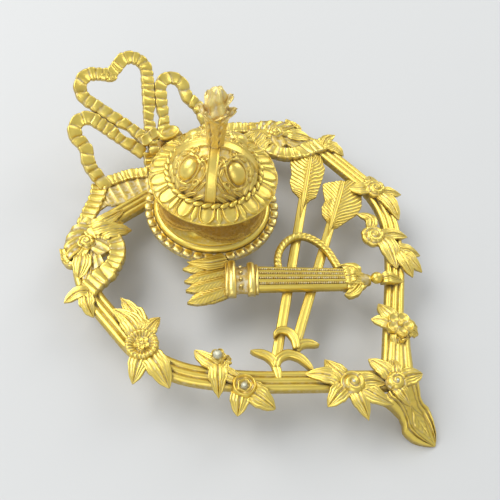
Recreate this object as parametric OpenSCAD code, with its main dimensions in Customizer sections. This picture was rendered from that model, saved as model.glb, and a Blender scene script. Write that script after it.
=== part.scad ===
// Heart-shaped openwork inkstand in gilt brass: a reeded heart carries the inkwell in its notch,
// a ribbon bow rises behind it, and a quiver crosses two arrows inside the heart.
// Plan coordinates count from the inkwell's axis, with the heart's point towards -Y and the bow
// towards +Y; they are true millimetres at the plan size given here and follow heart_reach.

/* [Heart frame] */
// Distance from the inkwell's axis to the point of the heart
heart_reach = 131; // [124:1:138]
// Width of the reeded rod
rod_w = 10; // [9:0.5:11]
// Height of the reeded rod
rod_h = 6; // [5:0.5:7]
// Height of the rod's top above the table
tray_z = 20; // [17:1:24]

/* [Leaves and ribbons] */
// Height that leaves and ribbons stand above the rod's top
relief = 2.4; // [1.8:0.2:3]
// Depth that they hang down beside the rod
drape = 2; // [1.2:0.2:3]
// Width of the bow's ribbon
ribbon_w = 7.4; // [6.4:0.2:7.8]
// Thickness of the bow's ribbon
ribbon_t = 3; // [2.4:0.2:3.6]
// Slope of the bow above the table, in degrees
bow_tilt = 35; // [30:1:40]

/* [Quiver and arrows] */
// Width of the quiver's tube at its mouth
quiver_w = 14; // [12:0.5:15]
// Height of the quiver above the arrows
quiver_h = 6; // [5:0.5:7]
// Thickness of an arrow's shaft
shaft_d = 4.6; // [4:0.2:5]

/* [Inkwell] */
// Outer radius of the beaded ring that the inkwell stands in
ring_r = 36; // [35.5:0.5:37]
// Number of beads round the ring
bead_count = 38; // [30:1:40]
// Height from the tray's top to the lid's rim
well_h = 24; // [22:1:27]
// Radius of the lid's rim
lid_r = 33; // [32.5:0.5:34]
// Radius of the lid's dome
dome_r = 22; // [20:0.5:23]
// Thickness of the inkwell's and the lid's walls
wall = 1.8; // [1.4:0.1:2]
// Height of the finial above the dome
finial_h = 34; // [28:1:38]
// Radius of the hinge pin
pin_r = 1.1; // [0.9:0.1:1.2]

/* [Hidden] */
$fn = 48;

gilt = "goldenrod";
bright = "gold";
deep = "darkgoldenrod";

// Plan scale, 1 at the drawn size
u = heart_reach / 131;
side_reach = 94 * u;
toe_reach = 163.5 * u;
rod_z = tray_z - rod_h;
leaf_z = tray_z - drape;
leaf_h = drape + relief;
fit_gap = 0.3;
pin_gap = 0.05;
bend_step = 8;

// Left half of the heart as straights [length, 0] and bends [radius, turn to the left]
limb_start = [-18, 27.5] * u;
limb_steps = [[32 * u, 0], [26 * u, 50], [48 * u, 40], [23 * u, 0], [55 * u, 41],
    [200 * u, 10], [70 * u, 0]];
back_foot_at = [-60, 26] * u;

// Bow: the heart-shaped middle loop and the right-hand side loop, in the bow's own plane
bow_y = 45 * u;
heart_loop_start = [ribbon_w / 2 - 1.2, 15 * u];
heart_loop_dir = 61;
heart_loop_steps = [[35.7 * u, 0], [8.5 * u, 144], [14 * u, 0]];
side_loop_start = [8, 8.5] * u;
side_loop_dir = 62;
side_loop_steps = [[30 * u, 0], [7.6 * u, -174], [9 * u, 52], [14 * u, -37], [20 * u, 0]];
bow_top = 58.8 * u + ribbon_w / 2;
bow_reach = bow_y + bow_top * cos(bow_tilt) + ribbon_t * sin(bow_tilt);
root_w = 20 * u;

// The quiver runs from its mouth down to the right limb
quiver_at = [-13.2, -50.9] * u;
quiver_dir = -38.8;
quiver_len = 45 * u;
quiver_z = tray_z - 0.6;
collar_t = 3.4;
arrow_z = quiver_z - shaft_d / 2;

// Inkwell levels
ring_z = tray_z - 4;
seat_z = tray_z - 1.5;
rim_z = tray_z + well_h;
pot_top = rim_z - fit_gap;
foot_r = 31.2;
neck_r = 30;
waist_r = 26.6;
waist_cut = 13.5;
waist_z = seat_z + (well_h - 3) / 2;
cavity_r = waist_r - wall;
ledge_r = cavity_r + 2;
ledge_z = pot_top - 2.6;
floor_z = seat_z + 2.6;
dome_z = rim_z + 1.5;
dome_top = dome_z + dome_r;
hinge_y = lid_r + 3.5;
hinge_z = rim_z - 2.5;
knuckle_r = 2.1;
knuckle_w = 5.8;
bracket_w = 3.3;
stud_r = 1.5;
spigot_h = rod_h / 2;

// Depth of the whole piece, used to put the origin under its middle
pot_y = (toe_reach - bow_reach) / 2;

// Point [x, y, direction] at fraction t of one straight or bend that starts at a place
function point_on(at, dir, s, t) =
    s[1] == 0 ? [at.x + s[0] * t * cos(dir), at.y + s[0] * t * sin(dir), dir] :
    let (r = s[0] * sign(s[1]), a = dir + s[1] * t)
        [at.x - r * sin(dir) + r * sin(a), at.y + r * cos(dir) - r * cos(a), a];

// Points along a chain of straights [length, 0] and bends [radius, turn to the left]
function path(at, dir, steps, i = 0) =
    i == len(steps) ? [[at.x, at.y, dir]] :
    let (s = steps[i], n = s[1] == 0 ? 1 : ceil(abs(s[1]) / bend_step), e = point_on(at, dir, s, 1))
        concat([for (k = [0:n - 1]) point_on(at, dir, s, k / n)],
            path([e.x, e.y], e[2], steps, i + 1));

function beside(p, d) = [p.x + d * sin(p[2]), p.y - d * cos(p[2])];

// Strip of a given width along a path, shifted to its right by an offset
module band(points, w, shift = 0) {
    polygon(concat([for (p = points) beside(p, shift - w / 2)],
        [for (i = [len(points) - 1:-1:0]) beside(points[i], shift + w / 2)]));
}

// Places a part in the frame whose origin is under the middle of the whole piece
module placed() {
    translate([0, pot_y, 0]) children();
}

// Plan outline of the left limb, or of one strip of it, from the well ring to the point
module limb_outline(w = rod_w, shift = 0) {
    difference() {
        band(path(limb_start, 180, limb_steps), w, shift);
        circle(ring_r);
        translate([0, -toe_reach]) square([side_reach, 2 * toe_reach]);
    }
}

module both_limbs() {
    for (m = [0, 1]) mirror([m, 0]) limb_outline();
}

// Reeded rod: a flat bed and three raised reeds, drilled for the foot's spigot
module heart_limb() {
    reed_h = 1.4;
    reed_w = rod_w / 3 - 0.5;
    difference() {
        union() {
            translate([0, 0, rod_z]) linear_extrude(rod_h - reed_h) limb_outline();
            for (i = [-1:1]) translate([0, 0, tray_z - reed_h]) linear_extrude(reed_h)
                limb_outline(reed_w, i * rod_w / 3);
        }
        translate([back_foot_at.x, back_foot_at.y, rod_z - 1])
            cylinder(r = stud_r, h = spigot_h + 1);
    }
}

module heart_limb_left() {
    color(gilt) placed() heart_limb();
}

module heart_limb_right() {
    color(gilt) placed() mirror([1, 0, 0]) heart_limb();
}

// The rods' full depth, kept clear of the arrows and the foot that end against them
module rod_space() {
    translate([0, 0, rod_z]) linear_extrude(rod_h + 2) both_limbs();
}

// Ring with a bead row round a shallow seat for the inkwell
module well_ring() {
    bead_row_r = (ring_r + foot_r) / 2 + 0.4;
    color(gilt) placed() difference() {
        union() {
            translate([0, 0, ring_z]) cylinder(r = ring_r, h = tray_z - ring_z);
            for (i = [0:bead_count - 1]) rotate(i * 360 / bead_count)
                translate([bead_row_r, 0, tray_z - 0.5]) cylinder(r = 1.7, h = 1.7);
        }
        translate([0, 0, seat_z]) cylinder(r = foot_r + 0.2, h = 5);
        translate([0, 0, ring_z - 1]) cylinder(r = 2, h = 6);
    }
}

// Outline of the front foot from above: a neck, two shoulders and a pointed leaf
module toe_outline() {
    polygon([for (m = [1, -1]) each [for (p = (m > 0 ? [[0, -136], [11, -136], [7, -145],
        [8.8, -151], [8.2, -155], [4.4, -160], [0, -163.5]] : [[-4.4, -160], [-8.2, -155],
        [-8.8, -151], [-7, -145], [-11, -136]])) p * u]]);
}

module front_foot() {
    color(gilt) placed() difference() {
        intersection() {
            translate([0, 0, -1]) linear_extrude(tray_z + 2) toe_outline();
            rotate([90, 0, -90]) translate([0, 0, -side_reach]) linear_extrude(2 * side_reach)
                polygon([[134 * u, rod_z], [137 * u, rod_z], [toe_reach - 14, 0.17 * tray_z],
                    [toe_reach - 8, 0], [toe_reach, 0], [toe_reach, 1.4], [toe_reach - 7, 4.4],
                    [150.5 * u, 0.36 * tray_z], [145 * u, 0.6 * tray_z], [138 * u, tray_z],
                    [134 * u, tray_z]]);
        }
        rod_space();
    }
}

// Turned foot under each lobe, with a spigot up into the rod
module back_foot() {
    translate([back_foot_at.x, back_foot_at.y, 0]) {
        cylinder(r1 = 3.2, r2 = 4.6, h = 2);
        translate([0, 0, 2]) cylinder(r1 = 4.6, r2 = 2.6, h = rod_z - 4);
        translate([0, 0, rod_z - 2]) cylinder(r = 4.4, h = 2);
        translate([0, 0, rod_z - 0.1]) cylinder(r = stud_r, h = spigot_h + 0.1);
    }
}

module back_foot_left() {
    color(gilt) placed() back_foot();
}

module back_foot_right() {
    color(gilt) placed() mirror([1, 0, 0]) back_foot();
}

// Stands a part on the sloping plane of the bow, its top face on that plane
module on_bow() {
    translate([0, bow_y, tray_z]) rotate([bow_tilt, 0, 0]) translate([0, 0, -ribbon_t]) children();
}

module ribbon(start, dir, steps) {
    band(path(start, dir, steps), ribbon_w);
}

// Outlines in the bow's plane
module knot_outline() {
    translate([-7 * u, 5.5 * u]) square([14 * u, 12 * u]);
}

module heart_loop_outline() {
    for (m = [0, 1]) mirror([m, 0]) intersection() {
        ribbon(heart_loop_start, heart_loop_dir, heart_loop_steps);
        square(side_reach);
    }
}

// Everything above the tray's top, where the bow stands
module above_tray() {
    intersection() {
        children();
        translate([-side_reach, 0, tray_z]) cube([2 * side_reach, 2 * side_reach, 3 * side_reach]);
    }
}

module bow_heart_loop() {
    color(bright) placed() on_bow() linear_extrude(ribbon_t) difference() {
        heart_loop_outline();
        knot_outline();
    }
}

module side_loop() {
    above_tray() on_bow() linear_extrude(ribbon_t) difference() {
        ribbon(side_loop_start, side_loop_dir, side_loop_steps);
        heart_loop_outline();
        knot_outline();
    }
}

module bow_loop_left() {
    color(bright) placed() mirror([1, 0, 0]) side_loop();
}

module bow_loop_right() {
    color(bright) placed() side_loop();
}

// Knot with two short tails down to a tongue that reaches the well ring
module bow_knot() {
    color(bright) placed() {
        on_bow() linear_extrude(ribbon_t + 1.4) knot_outline();
        above_tray() on_bow() for (m = [0, 1]) mirror([m, 0, 0])
            translate([1.4 * u, -6 * u, 0]) cube([ribbon_w, 12 * u, ribbon_t]);
        translate([0, 0, leaf_z]) linear_extrude(drape) difference() {
            translate([-root_w / 2, 0]) square([root_w, bow_y + 5 * u]);
            circle(ring_r);
        }
    }
}

// Flat ornament that lies over the rod and hangs a little down its sides
module saddle() {
    translate([0, 0, tray_z]) linear_extrude(relief) children();
    translate([0, 0, leaf_z]) linear_extrude(drape) difference() {
        children();
        both_limbs();
        toe_outline();
    }
}

// Ribbon from the side loop down to the lobe, with the pleated web between it and the rod
module ribbon_tail() {
    translate([0, 0, leaf_z]) linear_extrude(drape) difference() {
        polygon([for (p = [[-10, 36], [-10, 45], [-20, 50], [-27, 51.5], [-33, 52.5],
            [-41.5, 52.5], [-43, 48], [-50, 42.5], [-59, 37.5], [-56, 31], [-55, 30],
            [-50, 24], [-26, 24]]) p * u]);
        polygon([for (p = [[-41, 35], [-42, 37], [-46, 36], [-51.5, 32.8], [-51.5, 32.4],
            [-46, 33.2]]) p * u]);
        circle(ring_r);
        both_limbs();
    }
}

module ribbon_tail_left() {
    color(bright) placed() ribbon_tail();
}

module ribbon_tail_right() {
    color(bright) placed() mirror([1, 0, 0]) ribbon_tail();
}

// Small bow tied round the lobe: outer curl, inner loop, tail with a curled tip, two leaf tips
module lobe_bow() {
    saddle() difference() {
        polygon([for (p = [[-59, 37.5], [-66, 35], [-72, 31], [-77, 25.5], [-80.5, 19],
            [-80.5, 14.5], [-78.5, 13], [-81.5, 7.5], [-80, 3.5], [-85, -2], [-94, -2.5],
            [-94, -6], [-90, -9.5], [-84, -8.5], [-73, -6], [-69, -3], [-64, -2], [-57, 1.5],
            [-53.5, 8], [-50, 12], [-43, 12.5], [-43, 15], [-46, 17.5], [-43.5, 20.5],
            [-44, 24], [-51, 29], [-55, 30], [-56, 31]]) p * u]);
        polygon([for (p = [[-61, 11.5], [-67, 6], [-65, 4.6], [-61.5, 6.6]]) p * u]);
        polygon([for (p = [[-75, 22], [-77.6, 18.4], [-76.4, 17.8], [-74.6, 20.6]]) p * u]);
    }
    translate([-65 * u, 21.5 * u, tray_z]) cylinder(r = 4 * u, h = relief + 1.6);
}

module lobe_bow_left() {
    color(bright) placed() lobe_bow();
}

module lobe_bow_right() {
    color(bright) placed() mirror([1, 0, 0]) lobe_bow();
}

// Leaf blade from its base to its tip: the lens between two equal circles
module leaf(base, tip, w) {
    d = (tip - base) * u;
    chord = norm(d);
    belly = w * u;
    r = (chord * chord + belly * belly) / (4 * belly);
    translate(base * u + d / 2) rotate(atan2(d.y, d.x)) intersection() {
        translate([0, r - belly / 2]) circle(r);
        translate([0, belly / 2 - r]) circle(r);
    }
}

// Flower head: a disc of petals and a raised heart
module bloom(at, r) {
    translate([at.x * u, at.y * u, tray_z]) {
        cylinder(r = r * u, h = relief + 0.8);
        cylinder(r = 0.6 * r * u, h = relief + 2);
    }
}

// Spray of leaves [base, tip, width] and blooms [place, radius] lying on the rod
module sprig(leaves, blooms) {
    color(bright) placed() {
        saddle() {
            for (l = leaves) leaf(l[0], l[1], l[2]);
            for (b = blooms) translate(b[0] * u) circle(b[1] * u);
        }
        for (b = blooms) bloom(b[0], b[1]);
    }
}

module sprig_left_upper() {
    sprig([[[-80, -48], [-92.5, -56.5], 7], [[-80, -46], [-81.5, -68], 8],
        [[-77, -48], [-77.5, -20.5], 9], [[-77, -44], [-71, -16.5], 8],
        [[-76, -40], [-67, -30.5], 6], [[-78, -42], [-63, -36.5], 7]],
        [[[-79, -44], 7.5]]);
}

module sprig_left_middle() {
    sprig([[[-57, -86], [-61.5, -60.5], 6.4], [[-58, -78], [-51, -72.5], 4.6],
        [[-57, -74], [-67.5, -84.5], 7], [[-56, -86], [-66.5, -97.5], 7],
        [[-56, -88], [-51.5, -106], 8], [[-56, -94], [-57, -74], 7]],
        [[[-56, -89.5], 4.8], [[-55, -70.5], 2.5], [[-62, -80], 3.6]]);
}

module sprig_left_lower() {
    sprig([[[-18, -122], [-16.5, -103.5], 7], [[-18, -120], [-30, -103], 8],
        [[-16, -120], [-32.5, -120.5], 7], [[-15, -120], [-22.5, -136.5], 7],
        [[-16, -119], [-9, -139], 8], [[-17, -119], [-4.4, -130], 6]],
        [[[-16.5, -120], 5.4]]);
}

module sprig_point() {
    sprig([[[-0.8, -134], [0, -116.5], 7], [[0, -133], [8.5, -122.5], 5.4],
        [[0, -132], [13.5, -138.5], 7], [[-1, -131], [-3, -144.5], 5]],
        [[[-0.5, -133], 4.8]]);
}

module sprig_right_lower() {
    sprig([[[23, -116], [26.5, -99.5], 8], [[20, -118], [16.5, -102.5], 7],
        [[22, -114], [31, -120.5], 6], [[22, -116], [13, -117], 6]],
        [[[23, -115], 7], [[17.5, -117], 3.4]]);
}

module sprig_right_middle() {
    sprig([[[58, -70], [61.5, -53.5], 6], [[58, -68], [70, -80.5], 7],
        [[56, -72], [55, -92], 9], [[60, -82], [53, -100], 5.4],
        [[60, -80], [58.5, -100.5], 5], [[61, -76], [66, -93], 5.6]],
        [[[54.5, -69.5], 6.4], [[62, -68], 2.8]]);
}

module sprig_right_upper() {
    sprig([[[80, -46], [91, -58.5], 6], [[81, -48], [76.5, -70], 7],
        [[82, -46], [70, -44], 8], [[80, -44], [84, -36], 6]],
        [[[81.5, -47], 6.2]]);
}

// Quiver parts are drawn with +X running from the mouth to the chape
module on_quiver() {
    translate([quiver_at.x, quiver_at.y, quiver_z]) rotate(quiver_dir) children();
}

// Half-round tube of five flutes that narrows towards the chape
module quiver_tube() {
    flute_r = quiver_w / 10;
    color(bright) placed() on_quiver() {
        for (i = [-2:2]) {
            rise = (quiver_h - flute_r) * cos(i * 32);
            translate([0, i * flute_r * 1.98, max(rise, flute_r * 0.6)]) rotate([0, 90, 0])
                cylinder(r1 = flute_r, r2 = flute_r * 0.84, h = quiver_len);
        }
        rotate([90, 0, 90]) linear_extrude(quiver_len) intersection() {
            translate([0, -1]) circle(quiver_w / 2 - 1);
            translate([-quiver_w, 0]) square([2 * quiver_w, quiver_h - 1.4]);
        }
    }
}

// Two round collars with a beaded waist between them
module quiver_collar() {
    color(bright) placed() on_quiver() {
        for (c = [[-4.6 * u, 9.2 * u], [-14.6 * u, 10.2 * u]]) translate([c[0], -c[1], 0])
            cube([collar_t, 2 * c[1], quiver_h + 0.8]);
        translate([-14 * u, -8.4 * u, 0]) cube([14 * u - 1, 16.8 * u, quiver_h - 0.4]);
        for (i = [-1:1]) translate([-8.5 * u, i * 5 * u, quiver_h - 1]) cylinder(r = 1.6, h = 1.6);
    }
}

// Feathered ends of the arrows in the quiver, spread from the collar to the well ring
module quiver_flights() {
    color(bright) placed() translate([0, 0, leaf_z]) linear_extrude(leaf_h) difference() {
        polygon([for (p = [[-10, -30], [-16, -34.2], [-28.6, -49], [-33, -47.6], [-40, -44],
            [-47.5, -38.5], [-42.6, -36.4], [-44, -33], [-40.4, -31], [-41.6, -28.4],
            [-37.4, -28.6], [-37, -21.6], [-33.4, -22], [-28, -14]]) p * u]);
        circle(ring_r);
        translate(quiver_at) rotate(quiver_dir) translate([-14.6 * u, -20]) square(40);
    }
}

// Leafy end of the quiver, its ball and the pointed leaf that lies on the right limb
module quiver_chape() {
    color(bright) placed() {
        on_quiver() {
            translate([quiver_len, 0, 0]) linear_extrude(quiver_h - 0.6)
                polygon([for (p = [[0, -6.4], [1.6, -8.4], [4, -6.6], [12.4, -3.4], [12.4, 3.4],
                    [4, 6.6], [1.6, 8.4], [0, 6.4]]) p * u]);
            translate([57.2 * u, 0, 3]) rotate([0, 90, 0]) cylinder(r = 3, h = 7 * u);
        }
        saddle() difference() {
            leaf([34.5, -87.5], [47.5, -97.5], 10);
            translate(quiver_at) rotate(quiver_dir) translate([0, -10]) square([64.2 * u, 20]);
        }
    }
}

// Corded strap looping from the quiver's mouth round both arrows to its lower end
module quiver_strap() {
    color(gilt) placed() translate([0, 0, quiver_z]) linear_extrude(3.2) difference() {
        band(path([-1, -54.5] * u, 58, [[3 * u, 0], [19 * u, -62], [9.5 * u, -62],
            [22 * u, -42], [8 * u, 0]]), 3.8 * u);
        translate(quiver_at) rotate(quiver_dir) translate([-10, -quiver_w / 2])
            square([80, quiver_w]);
    }
}

// Round shaft between two plan points at the arrows' level
module shaft(from, to) {
    d = (to - from) * u;
    translate([from.x * u, from.y * u, arrow_z]) rotate(atan2(d.y, d.x)) rotate([0, 90, 0])
        cylinder(r = shaft_d / 2, h = norm(d));
}

// Flat cast strips and feathers of the arrows, from a shaft's underside up to the leaves' level
module arrow_plate() {
    translate([0, 0, arrow_z - shaft_d / 2]) linear_extrude(leaf_z - arrow_z + shaft_d / 2)
        children();
}

// Curled barb: a strip bent along straights and bends from a plan point
module barb(start, dir, steps) {
    band(path(start * u, dir, steps), 4.2 * u);
}

module upper_plan() {
    barb([-37.5, -91], 92, [[5 * u, 0], [14 * u, 24], [2 * u, 0]]);
    barb([-41, -92.2], 10, [[6 * u, 0], [9.5 * u, -96], [9 * u, 0]]);
    polygon([for (p = [[38.5, -31.5], [43, -26], [43.5, -18], [47, -12.5], [52, -9], [58, -1],
        [72, 8], [77, -8], [71, -18], [60, -25], [51, -30.4], [45, -29.6]]) p * u]);
}

module crossing_barb(bend) {
    barb([-21, -89.5], 96, [[4 * u, 0], [20 * u, -bend]]);
}

module lower_plan() {
    barb([-24.2, -90.4], 4, [[2.4 * u, 0], [11 * u, -56]]);
    polygon([for (p = [[41, -50], [43, -47], [44, -41], [47, -37.5], [55, -34], [60.4, -25.4],
        [71, -18.4], [80, -18], [77, -23], [73.5, -24], [70.4, -31], [73, -33],
        [80, -36], [80, -41], [70, -47], [66, -51], [60, -53], [50, -52.4], [41, -53]]) p * u]);
}

module upper_solid() {
    shaft([-36, -89.5], [66, -9.6]);
    arrow_plate() upper_plan();
}

module arrow_upper() {
    color(gilt) placed() difference() {
        upper_solid();
        rod_space();
    }
}

// One barb of the lower arrow rises and passes over the upper arrow's shaft
module arrow_lower() {
    color(gilt) placed() {
        difference() {
            union() {
                shaft([-20.6, -87.8], [70, -32.4]);
                arrow_plate() lower_plan();
                translate([0, 0, arrow_z - shaft_d / 2]) linear_extrude(shaft_d) crossing_barb(9);
            }
            rod_space();
            upper_solid();
        }
        translate([0, 0, quiver_z]) linear_extrude(1.6) crossing_barb(20);
    }
}

// Cast inkwell: foot, hollow waist, neck, and a bore for the glass liner
module inkwell_body() {
    color(gilt) placed() difference() {
        rotate_extrude() difference() {
            union() {
                translate([0, seat_z]) square([foot_r, 6]);
                translate([0, seat_z]) square([neck_r, pot_top - seat_z]);
            }
            translate([waist_r + waist_cut, waist_z]) circle(waist_cut);
        }
        translate([0, 0, floor_z]) cylinder(r = cavity_r, h = well_h + 5);
        translate([0, 0, ledge_z]) cylinder(r = ledge_r, h = 5);
        translate([0, 0, seat_z - 1]) cylinder(r = 2, h = 2.6);
    }
}

// Glass cup with a lip that hangs on the ledge in the inkwell's mouth
module ink_liner() {
    glass = 1.8;
    color("lightcyan") placed() difference() {
        union() {
            translate([0, 0, floor_z + 0.2]) cylinder(r = cavity_r - 0.2, h = ledge_z - floor_z);
            translate([0, 0, ledge_z]) cylinder(r = ledge_r - 0.2, h = 1.8);
        }
        translate([0, 0, floor_z + 2.2]) cylinder(r = cavity_r - 0.2 - glass, h = well_h + 5);
    }
}

// Screw from below that holds the inkwell down on its ring
module well_screw() {
    color(deep) placed() difference() {
        union() {
            translate([0, 0, ring_z - 2]) cylinder(r = 4, h = 2);
            translate([0, 0, ring_z - 0.5]) cylinder(r = 2, h = 4.6);
        }
        translate([-5, -0.5, ring_z - 2.5]) cube([10, 1, 1.3]);
    }
}

// Two outer knuckles on arms from the inkwell's neck
module hinge_bracket() {
    color(deep) placed() difference() {
        for (m = [0, 1]) mirror([m, 0, 0]) translate([knuckle_w / 2 + fit_gap, 0, 0]) {
            translate([0, hinge_y, hinge_z]) rotate([0, 90, 0])
                cylinder(r = knuckle_r, h = bracket_w);
            translate([0, neck_r - 4, hinge_z - knuckle_r])
                cube([bracket_w, hinge_y - neck_r + 4, knuckle_r + 0.6]);
        }
        translate([0, 0, seat_z]) cylinder(r = neck_r, h = well_h + 9);
        hinge_bore(0);
    }
}

module hinge_bore(gap) {
    translate([-10, hinge_y, hinge_z]) rotate([0, 90, 0]) cylinder(r = pin_r + gap, h = 20);
}

module hinge_pin() {
    half = knuckle_w / 2 + fit_gap + bracket_w;
    color(deep) placed() translate([-half, hinge_y, hinge_z]) rotate([0, 90, 0]) {
        cylinder(r = pin_r, h = 2 * half);
        for (x = [-0.8, 2 * half]) translate([0, 0, x]) cylinder(r = pin_r + 0.6, h = 0.8);
    }
}

// Lid: flat rim, sloping band, rope ring and a hollow dome with crossed straps and bosses
module lid() {
    boss_r = 6;
    strap_w = 5;
    color(gilt) placed() difference() {
        union() {
            rotate_extrude() {
                polygon([[0, rim_z], [lid_r, rim_z], [lid_r, rim_z + 1.2], [lid_r - 1, rim_z + 1.6],
                    [dome_r + 2.4, rim_z + 4.4], [0, rim_z + 4.4]]);
                translate([dome_r + 1.2, rim_z + 4.2]) circle(1.2);
                intersection() {
                    translate([0, dome_z]) circle(dome_r);
                    translate([0, rim_z]) square([lid_r, 2 * lid_r]);
                }
            }
            for (a = [0:90:270]) rotate(a) translate([0, 0, dome_z]) rotate([0, -32, 0])
                translate([dome_r + 1.2 - boss_r, 0, 0]) sphere(boss_r);
            intersection() {
                translate([0, 0, dome_z]) sphere(dome_r + 0.7);
                union() for (a = [45, 135]) rotate(a) translate([-lid_r, -strap_w / 2, rim_z + 3])
                    cube([2 * lid_r, strap_w, lid_r]);
            }
        }
        intersection() {
            translate([0, 0, dome_z]) sphere(dome_r - wall);
            translate([0, 0, rim_z - 1]) cylinder(r = lid_r, h = lid_r);
        }
        translate([0, 0, rim_z - 1]) cylinder(r = dome_r - wall, h = 2.4);
        translate([0, 0, dome_z]) cylinder(r = stud_r, h = 2 * dome_r);
        translate([0, 0, dome_top - 0.4]) cylinder(r = 3.4, h = 5);
    }
}

// Middle knuckle, its arm to the rim and the oval boss above it
module lid_hinge_leaf() {
    color(gilt) placed() difference() {
        union() {
            translate([-knuckle_w / 2, hinge_y, hinge_z]) rotate([0, 90, 0])
                cylinder(r = knuckle_r, h = knuckle_w);
            translate([-knuckle_w / 2, lid_r - 3, rim_z - 1])
                cube([knuckle_w, hinge_y - lid_r + 3 + knuckle_r, 2.2]);
            translate([-knuckle_w / 2, hinge_y - knuckle_r, hinge_z])
                cube([knuckle_w, 2 * knuckle_r, 2]);
            for (x = [-1.6, 1.6]) translate([x, hinge_y, rim_z + 0.6]) cylinder(r = 4, h = 1.6);
        }
        translate([0, 0, rim_z - 2]) cylinder(r = lid_r, h = 9);
        for (x = [-1.6, 1.6]) translate([x, hinge_y, rim_z + 1.6]) cylinder(r = 2.8, h = 2);
        hinge_bore(pin_gap);
    }
}

// Finial: a leafy cup on a stud, the flame in it, and the nut inside the dome
module finial_cup() {
    cup_h = finial_h / 2;
    color(bright) placed() {
        translate([0, 0, dome_top - 0.4]) cylinder(r = 3.4, h = 1.4);
        translate([0, 0, dome_top + 1]) cylinder(r1 = 3, r2 = 7.2, h = cup_h - 1);
        translate([0, 0, dome_top - wall - 3.4]) cylinder(r = stud_r, h = wall + 4);
    }
}

module finial_flame() {
    cup_h = finial_h / 2;
    flame_h = finial_h - cup_h;
    color(bright) placed() translate([0, 0, dome_top + cup_h]) {
        cylinder(r1 = 7.2, r2 = 7.8, h = flame_h * 0.2);
        translate([0, 0, flame_h * 0.2]) cylinder(r1 = 7.8, r2 = 4.4, h = flame_h * 0.5);
        translate([0, 0, flame_h * 0.7]) cylinder(r1 = 4.4, r2 = 1, h = flame_h * 0.3);
    }
}

module finial_nut() {
    nut_r = 3;
    nut_h = 2;
    nut_top = dome_z + sqrt(pow(dome_r - wall, 2) - nut_r * nut_r);
    color(deep) placed() translate([0, 0, nut_top - nut_h]) difference() {
        cylinder(r = nut_r, h = nut_h);
        translate([0, 0, -1]) cylinder(r = stud_r, h = nut_h + 2);
    }
}

heart_limb_left();
heart_limb_right();
well_ring();
front_foot();
back_foot_left();
back_foot_right();
bow_heart_loop();
bow_loop_left();
bow_loop_right();
bow_knot();
ribbon_tail_left();
ribbon_tail_right();
lobe_bow_left();
lobe_bow_right();
sprig_left_upper();
sprig_left_middle();
sprig_left_lower();
sprig_point();
sprig_right_lower();
sprig_right_middle();
sprig_right_upper();
quiver_tube();
quiver_collar();
quiver_flights();
quiver_chape();
quiver_strap();
arrow_upper();
arrow_lower();
inkwell_body();
ink_liner();
well_screw();
hinge_bracket();
hinge_pin();
lid();
lid_hinge_leaf();
finial_cup();
finial_flame();
finial_nut();
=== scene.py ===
import math
import random

import bmesh
import bpy
import numpy as np
from mathutils import Matrix, Vector


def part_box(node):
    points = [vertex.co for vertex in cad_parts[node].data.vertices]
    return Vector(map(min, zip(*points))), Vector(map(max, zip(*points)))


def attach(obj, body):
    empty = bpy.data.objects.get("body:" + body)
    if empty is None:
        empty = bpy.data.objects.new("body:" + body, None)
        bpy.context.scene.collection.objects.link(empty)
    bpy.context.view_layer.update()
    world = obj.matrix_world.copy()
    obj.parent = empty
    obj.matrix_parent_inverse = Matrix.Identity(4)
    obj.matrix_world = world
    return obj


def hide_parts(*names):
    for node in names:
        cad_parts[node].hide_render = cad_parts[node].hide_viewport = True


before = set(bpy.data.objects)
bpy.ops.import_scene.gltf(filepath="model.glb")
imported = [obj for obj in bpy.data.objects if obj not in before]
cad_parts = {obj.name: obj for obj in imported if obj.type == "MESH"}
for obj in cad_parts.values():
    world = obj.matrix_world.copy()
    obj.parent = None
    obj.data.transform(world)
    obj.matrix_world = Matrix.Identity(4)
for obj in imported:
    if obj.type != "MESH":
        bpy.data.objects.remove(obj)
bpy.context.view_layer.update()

scene = bpy.context.scene

# Table, lamps and camera
# A plain pale table top under soft studio lamps. The camera stands at the front left of the
# inkstand and looks down on it, as the photograph was taken.


def set_inputs(node, values):
    """Sets a node's inputs, given by their names or numbers."""
    for socket, value in values.items():
        node.inputs[socket].default_value = value


def put(name, data):
    """A new object in the scene."""
    made = bpy.data.objects.new(name, data)
    scene.collection.objects.link(made)
    return made


bpy.ops.mesh.primitive_grid_add(x_subdivisions=2, y_subdivisions=2, size=6)
table = bpy.context.object
table.name = "table"
paint = bpy.data.materials.new("pale_table")
paint.use_nodes = True
set_inputs(paint.node_tree.nodes["Principled BSDF"], {"Base Color": (0.62, 0.62, 0.61, 1), "Roughness": 0.75})
table.data.materials.append(paint)

scene.world = bpy.data.worlds.new("studio")
scene.world.use_nodes = True
set_inputs(scene.world.node_tree.nodes["Background"], {"Color": (0.92, 0.96, 1.0, 1), "Strength": 0.60})

for name, place, size, watts in (
        ("window_lamp", (-0.35, 0.75, 0.95), (1.1, 0.8), 11),
        ("fill_lamp", (-0.9, -0.6, 0.7), (0.8, 0.8), 3),
        ("edge_lamp", (0.9, 0.1, 0.7), (0.4, 0.8), 3)):
    light = bpy.data.lights.new(name, "AREA")
    light.shape = "RECTANGLE"
    light.size, light.size_y = size
    light.energy = watts
    lamp = put(name, light)
    lamp.location = place
    lamp.rotation_euler = (-Vector(place)).to_track_quat("-Z", "Y").to_euler()

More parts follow.
